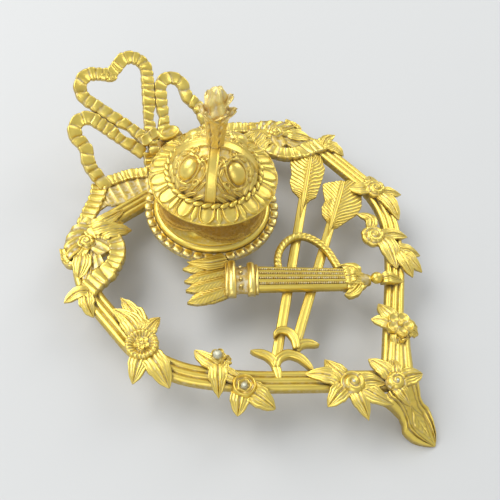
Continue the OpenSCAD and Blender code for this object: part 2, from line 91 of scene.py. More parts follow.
yaw, pitch, roll = 0.840346, 0.939232, 0.138510
camera_place = (-0.147675, -0.131257, 0.284903)
look = Vector((math.sin(yaw) * math.cos(pitch), math.cos(yaw) * math.cos(pitch), -math.sin(pitch)))
level_up = Vector((math.sin(yaw) * math.sin(pitch), math.cos(yaw) * math.sin(pitch), math.cos(pitch)))
level_right = Vector((math.cos(yaw), -math.sin(yaw), 0))
right = level_right * math.cos(roll) + level_up * math.sin(roll)
up = level_up * math.cos(roll) - level_right * math.sin(roll)
lens = bpy.data.cameras.new("camera")
lens.sensor_width = 36
lens.lens = 45.56
camera = put("camera", lens)
camera.matrix_world = Matrix.Translation(camera_place) @ Matrix((right, up, -look)).transposed().to_4x4()
scene.camera = camera
scene.view_settings.view_transform = "Standard"

# Reeded heart rods
# Two cast rods of three reeds each, bent to the halves of a heart and joined at its point.
# They are fire-gilt brass, bright on the reeds, with painted shade in the grooves between them.

ring_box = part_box("well_ring")
well = np.array([(ring_box[0].x + ring_box[1].x) / 2, (ring_box[0].y + ring_box[1].y) / 2,
                 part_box("heart_limb_left")[1].z])


def in_frame(points):
    """Millimetres about the inkwell's axis and the rods' top, as metres in the CAD's frame."""
    return np.asarray(points, float) / 1000 + well


def unit(values):
    """Values held between 0 and 1."""
    return np.clip(values, 0, 1)


def add_node(tree, kind, inputs=None, **settings):
    """A new node with its settings and the values of its inputs."""
    made = tree.nodes.new(kind)
    for key, value in settings.items():
        setattr(made, key, value)
    set_inputs(made, inputs or {})
    return made


def wire(tree, *links):
    """Links nodes: each link is a node, its output, the next node and its input."""
    for giver, output, taker, socket in links:
        tree.links.new(giver.outputs[output], taker.inputs[socket])


def gilt_brass(name, gold, painted_shade, rough, residue=0.5, grain=0.35, blotch=0.5, matt=0.0):
    """Gilt brass: worn gold, browner painted shade where the cast surface sinks, pale polish in crevices."""
    made = bpy.data.materials.new(name)
    made.use_nodes = True
    tree = made.node_tree
    shader = tree.nodes["Principled BSDF"]
    worn_gold = (gold[0] * 0.84, gold[1] * 0.76, gold[2] * 0.55, 1)
    polish_white = (0.80, 0.78, 0.66, 1)
    set_inputs(shader, {"Metallic": 1.0})

    place = add_node(tree, "ShaderNodeTexCoord")
    patches = add_node(tree, "ShaderNodeTexNoise", {"Scale": 60, "Detail": 5})
    drifts = add_node(tree, "ShaderNodeTexNoise", {"Scale": 540, "Detail": 5})
    specks = add_node(tree, "ShaderNodeTexNoise", {"Scale": 900, "Detail": 4})
    wire(tree, *[(place, "Object", noise, "Vector") for noise in (patches, drifts, specks)])

    # How deep a place lies, for painted shade and polish: marked on the mesh, or found from how shut in it is
    hollow = add_node(tree, "ShaderNodeAttribute", attribute_name="hollow")
    crevice = add_node(tree, "ShaderNodeAmbientOcclusion", {"Distance": 0.004, "Color": (1, 1, 1, 1)},
                       samples=6)
    shut_in = add_node(tree, "ShaderNodeMapRange", {"From Min": 0.80, "From Max": 0.22})
    deep = add_node(tree, "ShaderNodeMath", operation="MAXIMUM", use_clamp=True)
    wire(tree, (crevice, "AO", shut_in, "Value"), (hollow, "Fac", deep, 0), (shut_in, "Result", deep, 1))

    # Gold with worn patches, brown painted shade in the hollows, with pale polish broken up over the shade
    wear = add_node(tree, "ShaderNodeMapRange", {"From Min": 0.40, "From Max": 0.68, "To Max": blotch})
    tint = add_node(tree, "ShaderNodeMix", {"A": (*gold, 1), "B": worn_gold}, data_type="RGBA")
    # Painted shade: the shade colour is mixed in where a place lies deep or shut in
    sunk = add_node(tree, "ShaderNodeMix", {"B": (*painted_shade, 1)}, data_type="RGBA")
    caught = add_node(tree, "ShaderNodeMapRange", {"From Min": 0.40, "From Max": 0.66, "To Max": residue})
    dust = add_node(tree, "ShaderNodeMath", operation="MULTIPLY", use_clamp=True)
    pale = add_node(tree, "ShaderNodeMix", {"B": polish_white}, data_type="RGBA")
    wire(tree, (patches, "Fac", wear, "Value"), (wear, "Result", tint, "Factor"),
         (tint, "Result", sunk, "A"), (deep, "Value", sunk, "Factor"),
         (drifts, "Fac", caught, "Value"), (caught, "Result", dust, 0), (deep, "Value", dust, 1),
         (sunk, "Result", pale, "A"), (dust, "Value", pale, "Factor"),
         (pale, "Result", shader, "Base Color"))

    dull = add_node(tree, "ShaderNodeMath", operation="MAXIMUM", use_clamp=True)
    gloss = add_node(tree, "ShaderNodeMapRange", {"To Min": rough, "To Max": min(rough + 0.35, 0.8)})
    surface = add_node(tree, "ShaderNodeMath", {1: 0.35 + matt}, operation="MULTIPLY_ADD")
    bumps = add_node(tree, "ShaderNodeBump", {"Strength": grain, "Distance": 0.0004})
    wire(tree, (deep, "Value", dull, 0), (dust, "Value", dull, 1), (dull, "Value", gloss, "Value"),
         (gloss, "Result", shader, "Roughness"), (specks, "Fac", surface, 0), (patches, "Fac", surface, 2),
         (surface, "Value", bumps, "Height"), (bumps, "Normal", shader, "Normal"))
    return made


# The second colour given to gilt_brass is the painted shade of hollows and shut-in places
gilt = gilt_brass("gilt_cast", (0.91, 0.70, 0.15), (0.36, 0.24, 0.04), 0.34)


def walk(at, heading, steps, pace=1.0):
    """Places [x, y, heading] along straights (length, 0) and bends (radius, turn to the left)."""
    x, y, h = at[0], at[1], math.radians(heading)
    places = [(x, y, h)]
    for size, turn in steps:
        bend = math.radians(turn)
        length = size * abs(bend) if turn else size
        count = max(1, round(length / pace))
        for _ in range(count):
            a, b = bend / count, length / count
            chord = b if not turn else 2 * size * math.sin(abs(a) / 2)
            x += chord * math.cos(h + a / 2)
            y += chord * math.sin(h + a / 2)
            h += a
            places.append((x, y, h))
    return np.array(places)


def reeds(x):
    """Height of the rod's reeded top across its width, from -5 to 5 mm, and the painted shade of its grooves.
    """
    reed_width = 3.3
    local = (x / reed_width + 0.5) % 1 - 0.5
    round_top = np.sqrt(unit(1 - (2 * local) ** 2 * 0.96))
    return -1.5 + 1.5 * round_top - 0.03 * x ** 2, (1 - round_top) ** 1.2


def nodes_tree(name, **sizes):
    """An empty Geometry Nodes tree with a geometry input and named inputs of the given kinds."""
    tree = bpy.data.node_groups.new(name, "GeometryNodeTree")
    tree.interface.new_socket("Geometry", in_out="INPUT", socket_type="NodeSocketGeometry")
    for key, kind in sizes.items():
        tree.interface.new_socket(key.replace("_", " "), in_out="INPUT", socket_type="NodeSocket" + kind)
    tree.interface.new_socket("Geometry", in_out="OUTPUT", socket_type="NodeSocketGeometry")
    return tree, tree.nodes.new("NodeGroupInput"), tree.nodes.new("NodeGroupOutput")


def end_tree(tree, start, last, output, end):
    """Ends a tree: its instances are made real and take the metal."""
    real = add_node(tree, "GeometryNodeRealizeInstances")
    coat = add_node(tree, "GeometryNodeSetMaterial")
    wire(tree, (last, output, real, "Geometry"), (real, "Geometry", coat, "Geometry"),
         (start, "Metal", coat, "Material"), (coat, "Geometry", end, "Geometry"))


def bake(name, carrier, tree, **values):
    """Runs a tree on a carrier object and returns its result as a plain mesh object."""
    modifier = carrier.modifiers.new(tree.name, "NODES")
    modifier.node_group = tree
    for item in tree.interface.items_tree:
        if item.in_out == "INPUT" and item.name.replace(" ", "_") in values:
            modifier[item.identifier] = values[item.name.replace(" ", "_")]
    carrier.update_tag()
    bpy.context.view_layer.update()
    ready = carrier.evaluated_get(bpy.context.evaluated_depsgraph_get())
    mesh = bpy.data.meshes.new_from_object(ready)
    mesh.name = name
    carrier.modifiers.remove(modifier)
    bpy.data.objects.remove(carrier)
    return put(name, mesh)


def curve_object(name, points, cyclic):
    """A curve object of one straight-sided line through the points, in metres."""
    data = bpy.data.curves.new(name, "CURVE")
    data.dimensions = "3D"
    line = data.splines.new("POLY")
    line.points.add(len(points) - 1)
    for p, co in zip(line.points, points):
        p.co = (*co, 1)
    line.use_cyclic_u = cyclic
    return put(name, data)


def mark_painted_shade(mesh, values):
    """Stores how deep each point of a mesh lies, for the painted shade and polish in the metal's colour."""
    store = mesh.attributes.new("hollow", "FLOAT", "POINT")
    store.data.foreach_set("value", values.astype(np.float32))


def fit(piece, body, finish, *nodes):
    """Fixes a piece to its body and hides the plain solids that it stands for; the finish is not used."""
    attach(piece, body)
    if nodes:
        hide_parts(*nodes)


rod_x = np.linspace(-4.9, 4.9, 61)
reed_top, reed_groove_shade = reeds(rod_x)
under = np.array([(5.0, -3.2), (4.7, -5.2), (4.0, -6.0), (-4.0, -6.0), (-4.7, -5.2), (-5.0, -3.2)])
rod_loop = np.concatenate([np.stack([rod_x, reed_top], -1), under])
# Painted shade: dark in the grooves between the reeds, half dark on the rod's underside
rod_shade = np.concatenate([reed_groove_shade, np.full(len(under), 0.5)])

rod_tree, rod_in, rod_out = nodes_tree("reeded_rod", Rod_section="Object", Metal="Material")
section_info = add_node(rod_tree, "GeometryNodeObjectInfo")
upright = add_node(rod_tree, "GeometryNodeSetCurveNormal", mode="Z_UP")
sweep = add_node(rod_tree, "GeometryNodeCurveToMesh", {"Fill Caps": True})
wire(rod_tree, (rod_in, "Geometry", upright, "Curve"), (upright, "Curve", sweep, "Curve"),
     (rod_in, "Rod section", section_info, "Object"), (section_info, "Geometry", sweep, "Profile Curve"))
end_tree(rod_tree, rod_in, sweep, "Mesh", rod_out)

heart_path = walk((-18, 27.5), 180, [(32, 0), (26, 50), (48, 40), (23, 0), (55, 41), (200, 10), (62, 0)], 1.5)
heart_path = heart_path[np.hypot(heart_path[:, 0], heart_path[:, 1]) > 34]
heart_path = heart_path[heart_path[:, 0] < 2]
for side, sign in (("left", 1), ("right", -1)):
    section = curve_object("section", [(sign * a / 1000, -b / 1000, 0) for a, b in rod_loop], True)
    line = curve_object("line", in_frame([(sign * a, b, 0) for a, b in heart_path[:, :2]]), False)
    rod = bake("reeded_rod_" + side, line, rod_tree, Rod_section=section, Metal=gilt)
    bpy.data.objects.remove(section)
    mark_painted_shade(rod.data, np.tile(rod_shade, len(heart_path))[:len(rod.data.vertices)])
    fit(rod, "stand", "gilt_brass", "heart_limb_" + side)

# Beaded ring under the inkwell
# A cast ring that the rods run into, with a shallow seat for the inkwell's foot. A row of
# chased beads stands in a groove round its edge, and pale polish has stayed between them.


def around(count):
    """Angles of a full turn, as a column."""
    return np.linspace(0, 2 * math.pi, count, endpoint=False)[:, None]


def grid(x, y, z):
    """Points from their coordinates, spread to one grid."""
    return np.stack(np.broadcast_arrays(x, y, z), -1)


def weave(index):
    """Quads over a grid of vertex numbers."""
    return np.stack([index[:-1, :-1], index[1:, :-1], index[1:, 1:], index[:-1, 1:]], -1).reshape(-1, 4)


def turned(radius, height, hollow, centre=(0, 0), closed=False):
    """A form turned about an upright axis: rows are angles, columns run along the section."""
    radius, height, hollow = np.broadcast_arrays(radius, height, hollow)
    angle = around(radius.shape[0])
    points = grid(centre[0] + radius * np.cos(angle), centre[1] + radius * np.sin(angle), height)
    index = np.arange(radius.size).reshape(radius.shape)
    index = np.vstack([index, index[:1]])
    if closed:
        index = np.hstack([index, index[:, :1]])
    return points.reshape(-1, 3), weave(index), hollow.reshape(-1)


def spun(section, count, centre=(0, 0), closed=False):
    """A round turned form from its section's rows of radius, height and painted shade."""
    radius, height, hollow = np.transpose(section)
    return turned(np.tile(radius, (count, 1)), height, hollow, centre, closed)


def casting(name, parts, metal, place=in_frame):
    """One mesh object from closed parts (points, quads, painted shade), its faces turned outward."""
    starts = np.cumsum([0] + [len(points) for points, _, _ in parts[:-1]])
    faces = np.concatenate([quads + start for (_, quads, _), start in zip(parts, starts)])
    mesh = bpy.data.meshes.new(name)
    mesh.from_pydata(place(np.concatenate([points for points, _, _ in parts])).tolist(), [], faces.tolist())
    mark_painted_shade(mesh, np.concatenate([hollow for _, _, hollow in parts]))
    work = bmesh.new()
    work.from_mesh(mesh)
    bmesh.ops.remove_doubles(work, verts=work.verts, dist=4e-6)
    bmesh.ops.dissolve_degenerate(work, edges=work.edges, dist=1e-6)
    bmesh.ops.recalc_face_normals(work, faces=work.faces)
    work.to_mesh(mesh)
    work.free()
    mesh.shade_smooth()
    mesh.materials.append(metal)
    return put(name, mesh)


polished = gilt_brass("gilt_bead_row", (0.94, 0.75, 0.24), (0.52, 0.36, 0.10), 0.33, residue=1.0)
# Rows are radius, height and painted shade: darkest in the bead groove, where pale polish also settles
ring_section = [
    (0, -4.0, 0.6), (34.6, -4.0, 0.4), (35.4, -3.5, 0.2), (35.7, -2.4, 0.2), (35.6, -1.4, 0.4),
    (35.2, -0.8, 0.8), (34.0, -0.6, 1.0), (32.6, -0.6, 1.0), (32.2, -0.5, 0.7),
    (31.9, -0.1, 0.1), (31.5, -0.2, 0.2), (31.4, -1.5, 0.9), (0, -1.5, 0.9)]
fit(casting("well_ring_casting", [spun(ring_section, 180)], polished), "stand", "gilt_brass", "well_ring")

bead_tree, bead_in, bead_out = nodes_tree(
    "bead_row", Bead="Object", Beads="Int", Row_radius="Float", Metal="Material")
circle = add_node(bead_tree, "GeometryNodeCurvePrimitiveCircle", {"Resolution": 360})
stops = add_node(bead_tree, "GeometryNodeCurveToPoints")
facing = add_node(bead_tree, "FunctionNodeAlignRotationToVector", axis="X", pivot_axis="Z")
bead_info = add_node(bead_tree, "GeometryNodeObjectInfo")
spread = add_node(bead_tree, "GeometryNodeInstanceOnPoints")
level = add_node(bead_tree, "GeometryNodeTransform")
wire(bead_tree, (bead_in, "Row radius", circle, "Radius"), (circle, "Curve", stops, "Curve"),
     (bead_in, "Beads", stops, "Count"), (bead_in, "Bead", bead_info, "Object"),
     (stops, "Points", spread, "Points"), (stops, "Tangent", facing, "Vector"),
     (facing, "Rotation", spread, "Rotation"), (bead_info, "Geometry", spread, "Instance"),
     (spread, "Instances", level, "Geometry"))
end_tree(bead_tree, bead_in, level, "Geometry", bead_out)


def cushion(name, a, b, c, low, squareness=3.2, faces=14):
    """A rounded bead with a nearly square plan, half sizes a, b and c, its middle at height low."""
    turn = around(faces)
    rise = np.linspace(-math.pi / 2, math.pi / 2, 8)[None, :]

    def stretch(v):
        return np.sign(v) * np.abs(v) ** (2 / squareness)
    flat = stretch(np.cos(rise))
    points = grid(a * flat * stretch(np.cos(turn)), b * flat * stretch(np.sin(turn)), low + c * np.sin(rise))
    index = np.arange(points[..., 0].size).reshape(points.shape[:2])
    # Painted shade: each bead darker towards its underside
    dark = unit(0.5 - points[..., 2] / c).reshape(-1)
    part = (points.reshape(-1, 3), weave(np.vstack([index, index[:1]])), dark)
    return casting(name, [part], polished, place=lambda p: p / 1000)


def bead_row(name, bead, count, radius, height, metal):
    """Like beads in a level row round the inkwell's axis, its radius and height in millimetres."""
    set_inputs(level, {"Translation": tuple(in_frame((0, 0, height)))})
    seed = put("seed", bpy.data.meshes.new("seed"))
    row = bake(name, seed, bead_tree, Bead=bead, Beads=count, Row_radius=radius / 1000, Metal=metal)
    bpy.data.objects.remove(bead)
    return row


bead = cushion("bead", 2.5, 2.25, 1.6, -0.55, 3.8)
fit(bead_row("well_ring_beads", bead, 38, 33.9, 0, polished), "stand", "gilt_brass")

# Inkwell
# A cast pot: a smooth bulging foot, a matted hollow waist with festoons chased round its lower
# edge, and a flaring neck. It is bored out for the glass liner and screwed down on its ring.


def dent(distance, width):
    """A smooth bump, 1 at no distance and nearly 0 past twice the width."""
    return np.exp(-(distance / width) ** 2)


def finely(outline, count=110):
    """The columns of an outline's points, each spread evenly to more values."""
    at = np.linspace(0, len(outline) - 1, count)
    return [np.interp(at, range(len(outline)), column) for column in np.transpose(outline)]


def rows_with(before, middle, after):
    """Adds fixed columns before and after the values round a turned form."""
    return np.hstack([np.tile(before, (len(middle), 1)), middle, np.tile(after, (len(middle), 1))])


# The waist's darker, browner gold is painted shade under the lid's rim; its matt grain and roughness are the
# chased finish
matted = gilt_brass("gilt_matted", (0.66, 0.44, 0.09), (0.34, 0.19, 0.04), 0.56, residue=0.25,
                    grain=1.0, matt=2.2, blotch=0.9)
pot_rows = 360
pot_r, pot_z = finely([
    (30.6, -1.5), (31.1, -1.2), (31.35, -0.2), (31.3, 0.8), (30.9, 1.6), (30.2, 2.2), (29.5, 2.5),
    (29.2, 2.7), (29.25, 3.0), (29.1, 3.6), (28.5, 4.6), (27.8, 6.0), (27.2, 7.6), (26.8, 9.2),
    (26.6, 11.0), (26.6, 13.0), (26.8, 14.8), (27.2, 16.4), (27.8, 18.0), (28.6, 19.6),
    (29.4, 21.0), (29.9, 22.2), (30.0, 23.0), (29.8, 23.7)])

# Three swags of a double ridge dip to the foot moulding, each with a roundel over its dip and a
# drop where it meets the next
swag = np.abs(((around(pot_rows) + math.pi / 2) * 3 / math.pi) % 2 - 1)
swag_z = 4.6 + 6.6 * (1 - swag) ** 2.2
ridges = dent(pot_z - swag_z, 0.50) + 0.7 * dent(pot_z - swag_z - 1.5, 0.36)
roundel = np.hypot((1 - swag) * 27, pot_z - 12.8)
drop = np.hypot(swag * 14, (pot_z - 7.6) * 0.7)
relief_pot = 1.6 * ridges * (swag < 0.92) + 1.1 * dent(roundel - 1.6, 0.55) + 0.9 * dent(roundel, 0.8)
relief_pot = relief_pot + 1.0 * dent(drop, 1.3) * (swag < 0.4)
relief_pot *= unit(pot_z - 3.2) * unit((21 - pot_z) / 3)
# Painted shade in the groove over the foot and on the waist's ground between the swags; the underside and
# bore darker too
pot_shade = 0.9 * dent(pot_z - 2.75, 0.22) + (0.45 - 0.55 * unit(relief_pot)) * (pot_z > 4) * (pot_z < 20)
pot_cut = np.array([(26.8, 23.7, 0.3), (26.8, 21.1, 0.6), (24.8, 21.1, 0.5), (24.8, 1.1, 0.8), (0, 1.1, 0.8)])
pot = casting("inkwell_pot", [turned(
    rows_with([0], pot_r + relief_pot, pot_cut[:, 0]), np.concatenate([[-1.5], pot_z, pot_cut[:, 1]]),
    rows_with([0.6], pot_shade, pot_cut[:, 2]))], gilt)
pot.data.materials.append(matted)


def is_matted(face):
    """True for a face of the hollow waist above the swags."""
    x, y, z = (np.array(face.center) - well) * 1000
    turned_by = int(round(math.atan2(y, x) / (2 * math.pi) * pot_rows)) % pot_rows
    return swag_z[turned_by, 0] - 0.4 < z < 20.5 and math.hypot(x, y) > 26.2


waist = [is_matted(face) for face in pot.data.polygons]
for face, dull in zip(pot.data.polygons, waist):
    face.material_index = int(dull)
fit(pot, "stand", "gilt_brass", "inkwell_body")

# Glass liner and its fixing
# A moulded glass cup hangs inside the pot and holds the ink. The brass screw from below and the
# hinge's parts are plain turned and filed brass.

glass = bpy.data.materials.new("clear_glass")
glass.use_nodes = True
glass_shader = glass.node_tree.nodes["Principled BSDF"]
set_inputs(glass_shader, {"Transmission Weight": 1.0, "Roughness": 0.04, "IOR": 1.5})
liner_place = add_node(glass.node_tree, "ShaderNodeTexCoord")
wave = add_node(glass.node_tree, "ShaderNodeTexNoise", {"Scale": 90})
clear = add_node(glass.node_tree, "ShaderNodeValToRGB")
clear.color_ramp.elements[0].color = (0.86, 0.93, 0.91, 1)
clear.color_ramp.elements[1].color = (0.94, 0.98, 0.97, 1)
wire(glass.node_tree, (liner_place, "Object", wave, "Vector"), (wave, "Fac", clear, "Fac"),
     (clear, "Color", glass_shader, "Base Color"))
plain = gilt_brass("plain_turned_brass", (0.72, 0.52, 0.16), (0.30, 0.18, 0.04), 0.38)
for part, metal in (("ink_liner", glass), ("well_screw", plain), ("hinge_bracket", plain),
                    ("hinge_pin", plain), ("finial_nut", plain)):
    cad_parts[part].data.materials.clear()
    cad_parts[part].data.materials.append(metal)

# Lid
# A cast lid: a rim of sunk gadroons with darts between them, a rope moulding, and a hollow dome
# with four smooth straps, four oval bosses in scrolled frames and leaves round its foot.


def rounded(v):
    """Height of a half-round form: 1 at v = 0, and 0 at v = 1 and past it."""
    return np.sqrt(unit(1 - v ** 2))


def pair(x, off, width):
    """A ridge on each side of the middle line."""
    return dent(np.abs(x) - off, width)


lobes = 15
rim_rows = 840
band_r, band_z = finely([
    (32.3, 24.0), (32.9, 24.2), (33.0, 24.6), (32.8, 25.0), (32.3, 25.3), (31.4, 25.8),
    (30.0, 26.4), (28.4, 26.9), (26.8, 27.4), (25.4, 27.8), (24.6, 28.0), (24.0, 28.0), (22.4, 28.0)])
lobe = ((around(rim_rows) * lobes / (2 * math.pi) + 0.2) % 1) * 2 - 1
wide = lobe * band_r * math.pi / lobes
reach = band_r - 24.4
tongue = 3.9 * rounded(unit((reach - 4.4) / 3.6)) * (reach > -0.2) - np.abs(wide)
inward = unit((reach + 0.2) / 0.6)
border = dent(tongue - 0.50, 0.34) * inward
floor = unit((tongue - 0.8) / 0.35) * inward
dart_at = (1 - np.abs(lobe)) * band_r * math.pi / lobes
dart_half = np.interp(reach, [0, 6.0, 8.2], [0.75, 1.25, 0.1])
dart = unit((dart_half - dart_at) / 0.35) * (reach > 0.2)
sunk_gap = unit(-tongue / 0.4) * unit((dart_at - dart_half) / 0.3)
sunk_gap = sunk_gap * unit((reach - 0.2) / 0.4) * unit((8.3 - reach) / 0.6)
band_lift = 0.75 * border - 0.35 * floor + 0.12 * floor * dent(wide, 1.5) + 0.30 * dart - 0.50 * sunk_gap
# Painted shade in the gadroons' floors, the sunk gaps and the border's groove, and under the rim's edge
band_dark = unit(0.14 * floor + 0.60 * sunk_gap + 0.5 * dent(tongue - 1.15, 0.18) * inward)
above = unit((band_z - 24.1) / 0.3)
band_dark = band_dark * above + 0.45 * (1 - above)
scallop = 0.45 * above * (np.abs(lobe) > 0.62) * pair(lobe, 0.80, 0.16) * unit(band_r - 31.8)
inside = np.array([(21.6, 28.0, 0.6), (20.2, 27.2, 0.7), (20.2, 24.0, 0.6)])
lid_rim = casting("lid_gadrooned_rim", [turned(
    rows_with([], band_r + 0.25 * band_lift * (band_r < 32) - scallop, inside[:, 0]),
    rows_with([], band_z + unit((band_z - 24.4) / 0.8) * band_lift, inside[:, 1]),
    rows_with([], band_dark, inside[:, 2]), closed=True)], gilt)
fit(lid_rim, "lid", "gilt_brass", "lid")

dome_r, dome_z, dome_wall, dome_rows = 22.0, 25.5, 1.8, 544
rise = np.linspace(0.09, math.pi / 2 - 0.02, 150)[None, :]
quarter = (around(dome_rows) / (math.pi / 2)) % 1
strap_off = dome_r * np.cos(rise) * np.sin((quarter - 0.5) * math.pi / 2)
boss_off = np.abs(dome_r * np.cos(rise) * (((quarter + 0.5) % 1) - 0.5) * math.pi / 2)
boss_up = dome_r * (rise - math.radians(41))


def blade(foot, tip, half, rib=0.5):
    """Height, 0 to 1, of a pointed leaf chased on the dome on both sides of a boss."""
    run_x, run_y = tip[0] - foot[0], tip[1] - foot[1]
    length = math.hypot(run_x, run_y)
    t = ((boss_off - foot[0]) * run_x + (boss_up - foot[1]) * run_y) / length ** 2
    off = ((boss_off - foot[0]) * run_y - (boss_up - foot[1]) * run_x) / length
    room = half * np.sqrt(unit(t)) * unit(1 - t) ** 0.6 * 1.7
    return rounded(off / np.maximum(room, 0.05)) * (t > 0) * (t < 1) * (1 - rib * dent(off, 0.22))


oval = np.hypot(boss_off / 4.3, boss_up / 6.0)
bracket = dent(np.hypot(boss_off - 1.0, boss_up) - 8.0, 0.55) * (boss_up > -5) * (boss_off > 2.4)
scroll = np.hypot(boss_off - 3.2, boss_up - 8.6)
curl_end = np.hypot(boss_off - 7.2, boss_up + 3.4)
scrolls = dent(scroll - 1.7, 0.45) + dent(scroll, 0.6) + dent(curl_end - 1.4, 0.45)
foliage = np.maximum.reduce([
    blade((0.3, -12.4), (4.6, -7.4), 1.6), blade((4.4, -12.6), (9.6, -7.8), 1.7),
    blade((8.8, -12.6), (13.6, -8.4), 1.6), blade((6.2, -8.6), (8.4, -1.6), 1.4),
    blade((9.4, -7.4), (11.2, -1.6), 1.2), blade((0.4, -7.2), (5.0, -6.4), 1.0),
    blade((1.2, 6.8), (5.4, 5.4), 0.9), blade((5.6, 4.6), (8.4, 1.0), 1.0)])
strap_flat = unit((2.7 - np.abs(strap_off)) / 0.3)
free = (1 - strap_flat) * unit((oval - 1.0) / 0.1)
relief_dome = np.clip(1.3 * dent(oval - 1.22, 0.11) + 1.1 * bracket * (oval > 1.4)
                      + 1.1 * scrolls * (oval > 1.35) + 1.5 * foliage, 0, 1.6)
dome_lift = ((0.60 * strap_flat + 0.70 * pair(strap_off, 2.3, 0.3)) * (oval > 1.3)
             + 3.0 * rounded(oval) * (oval < 1) + free * relief_dome)
# Painted shade on the ground between the reliefs, round the bosses' edges and beside the straps; the inside
# half dark
dome_dark = unit(free * (0.55 - 0.70 * relief_dome) + 0.7 * dent(oval - 1.05, 0.06)
                 + 0.5 * pair(strap_off, 2.95, 0.25) * (1 - strap_flat))
dome_metal = gilt_brass("gilt_chased_dome", (0.93, 0.72, 0.18), (0.56, 0.39, 0.09), 0.36, residue=0.55,
                        grain=0.8)
inner_rise = np.linspace(math.pi / 2 - 0.07, 0.09, 24)
dome = casting("lid_dome", [turned(
    rows_with([], (dome_r + dome_lift) * np.cos(rise), (dome_r - dome_wall) * np.cos(inner_rise)),
    rows_with([], dome_z + (dome_r + dome_lift) * np.sin(rise),
              dome_z + (dome_r - dome_wall) * np.sin(inner_rise)),
    rows_with([], dome_dark, np.full(24, 0.6)), closed=True)], dome_metal)
fit(dome, "lid", "gilt_brass")

# Rope moulding of slanting strands round the dome's foot
strand = cushion("strand", 3.1, 1.5, 1.25, 0.0, 2.2, 12)
strand.data.transform(Matrix.Rotation(math.radians(27), 4, "Z"))
fit(bead_row("lid_rope_moulding", strand, 34, 23.6, 28.5, gilt), "lid", "gilt_brass")

# Hinge leaf of the lid
# The lid's middle knuckle and its arm are cast with an oval dished boss that shows behind the
# rim. The hinge pin runs through the knuckle.


def across(count):
    """Places from -1 at one edge of a strip to 1 at the other, as a row."""
    return np.linspace(-1, 1, count)[None, :]


def shut(top, bottom, dark):
    """A closed part between an upper and a lower grid of points that share their edges' order."""
    n, m = top.shape[:2]
    index = np.arange(n * m).reshape(n, m)
    rim = np.concatenate([index[0], index[1:, -1], index[-1, -2::-1], index[-2:0:-1, 0]])
    walls = np.stack([rim, np.roll(rim, -1), np.roll(rim, -1) + n * m, rim + n * m], -1)
    dark = np.broadcast_to(dark, (n, m)).reshape(-1)
    # The underside points are half dark: painted shade under each part
    return (np.concatenate([top.reshape(-1, 3), bottom.reshape(-1, 3)]),
            np.concatenate([weave(index), weave(index + n * m)[:, ::-1], walls]),
            np.concatenate([dark, np.full(n * m, 0.55)]))


def strip(line, half, top, under_side, dark):
    """A flat strip along a line of places, from its left edge to its right: closed, in mm."""
    out = np.reshape(half, (-1, 1)) * across(np.shape(top)[1])
    flat_x = line[:, 0:1] + out * np.sin(line[:, 2:3])
    flat_y = line[:, 1:2] - out * np.cos(line[:, 2:3])
    return shut(grid(flat_x, flat_y, top), grid(flat_x, flat_y, np.minimum(under_side, top - 0.3)), dark)


pin_y, pin_z = 36.5, 21.5
boss_turn = around(72)
# Rows of the boss are radius share, height and painted shade, darkest in its dish; knuckle and arm lightly
# shaded
dish_r, dish_z, dish_dark = np.transpose([
    (0.0, 25.7, 0.4), (0.30, 25.7, 0.4), (0.55, 25.8, 0.5), (0.66, 26.3, 0.4), (0.76, 26.9, 0.1),
    (0.88, 27.0, 0.0), (0.97, 26.5, 0.1), (1.0, 25.6, 0.2), (0.96, 24.6, 0.4), (0.0, 24.6, 0.5)])
oval_r = 1 / np.hypot(np.cos(boss_turn) / 6.2, np.sin(boss_turn) / 4.4)
boss_part = turned(oval_r * dish_r, dish_z, dish_dark, centre=(0, pin_y + 0.6))
knuckle = [(1.15, -2.9, 0.2), (1.9, -2.9, 0.2), (2.1, -2.6, 0.2),
           (2.1, 2.6, 0.2), (1.9, 2.9, 0.2), (1.15, 2.9, 0.2)]
upright_knuckle, knuckle_quads, knuckle_dark = spun(knuckle, 40, closed=True)
knuckle_points = grid(upright_knuckle[:, 2], pin_y + upright_knuckle[:, 0], pin_z + upright_knuckle[:, 1])
arm_line = walk((0, 30.6), 90, [(8.0, 0)], 0.4)
arm_under = np.interp(arm_line[:, 1:2], [30.6, 33.0, 34.6, 38.6], [24.4, 23.4, 23.2, 23.2])
arm_part = strip(arm_line, 2.9, 25.2 - 0.4 * across(9) ** 6, arm_under, 0.2)
knuckle_part = (knuckle_points, knuckle_quads, knuckle_dark)
hinge_leaf = casting("lid_hinge_casting", [boss_part, knuckle_part, arm_part], gilt)
fit(hinge_leaf, "lid", "gilt_brass", "lid_hinge_leaf")

# Finial
# A cast bud screwed through the dome: pointed leaves rise from a narrow stem and part at the
# top round a twisted flame. The casting is rough and holds much pale polish.


def along(count):
    """Shares of a length from 0 to 1, as a column."""
    return np.linspace(0, 1, count)[:, None]


rough_cast = gilt_brass("gilt_rough_cast", (0.94, 0.76, 0.28), (0.74, 0.56, 0.22), 0.42, residue=1.0,
                        grain=0.8, matt=0.6)
stem_turn = around(160)
stem_h = np.linspace(47.0, 81.5, 90)[None, :]
stem_r = np.interp(stem_h, [47, 47.6, 48.6, 50, 54, 60, 65, 69, 73, 77, 80, 81.2, 81.5],
                   [0.0, 3.6, 3.9, 3.1, 3.6, 4.6, 5.2, 5.0, 4.4, 3.7, 2.6, 1.2, 0.0])
curl = np.sin(5 * stem_turn + 0.16 * (stem_h - 47)) * unit((stem_h - 49) / 6)
knots = np.sin(3 * stem_turn - 0.30 * stem_h) * np.sin(0.42 * stem_h)
# Painted shade in the twisted grooves of the flame
flame = turned(stem_r * (1 + 0.14 * curl + 0.20 * knots * unit((stem_h - 60) / 6)), stem_h,
               unit(0.12 - 0.5 * curl - 0.3 * knots) * (stem_h > 49.5))


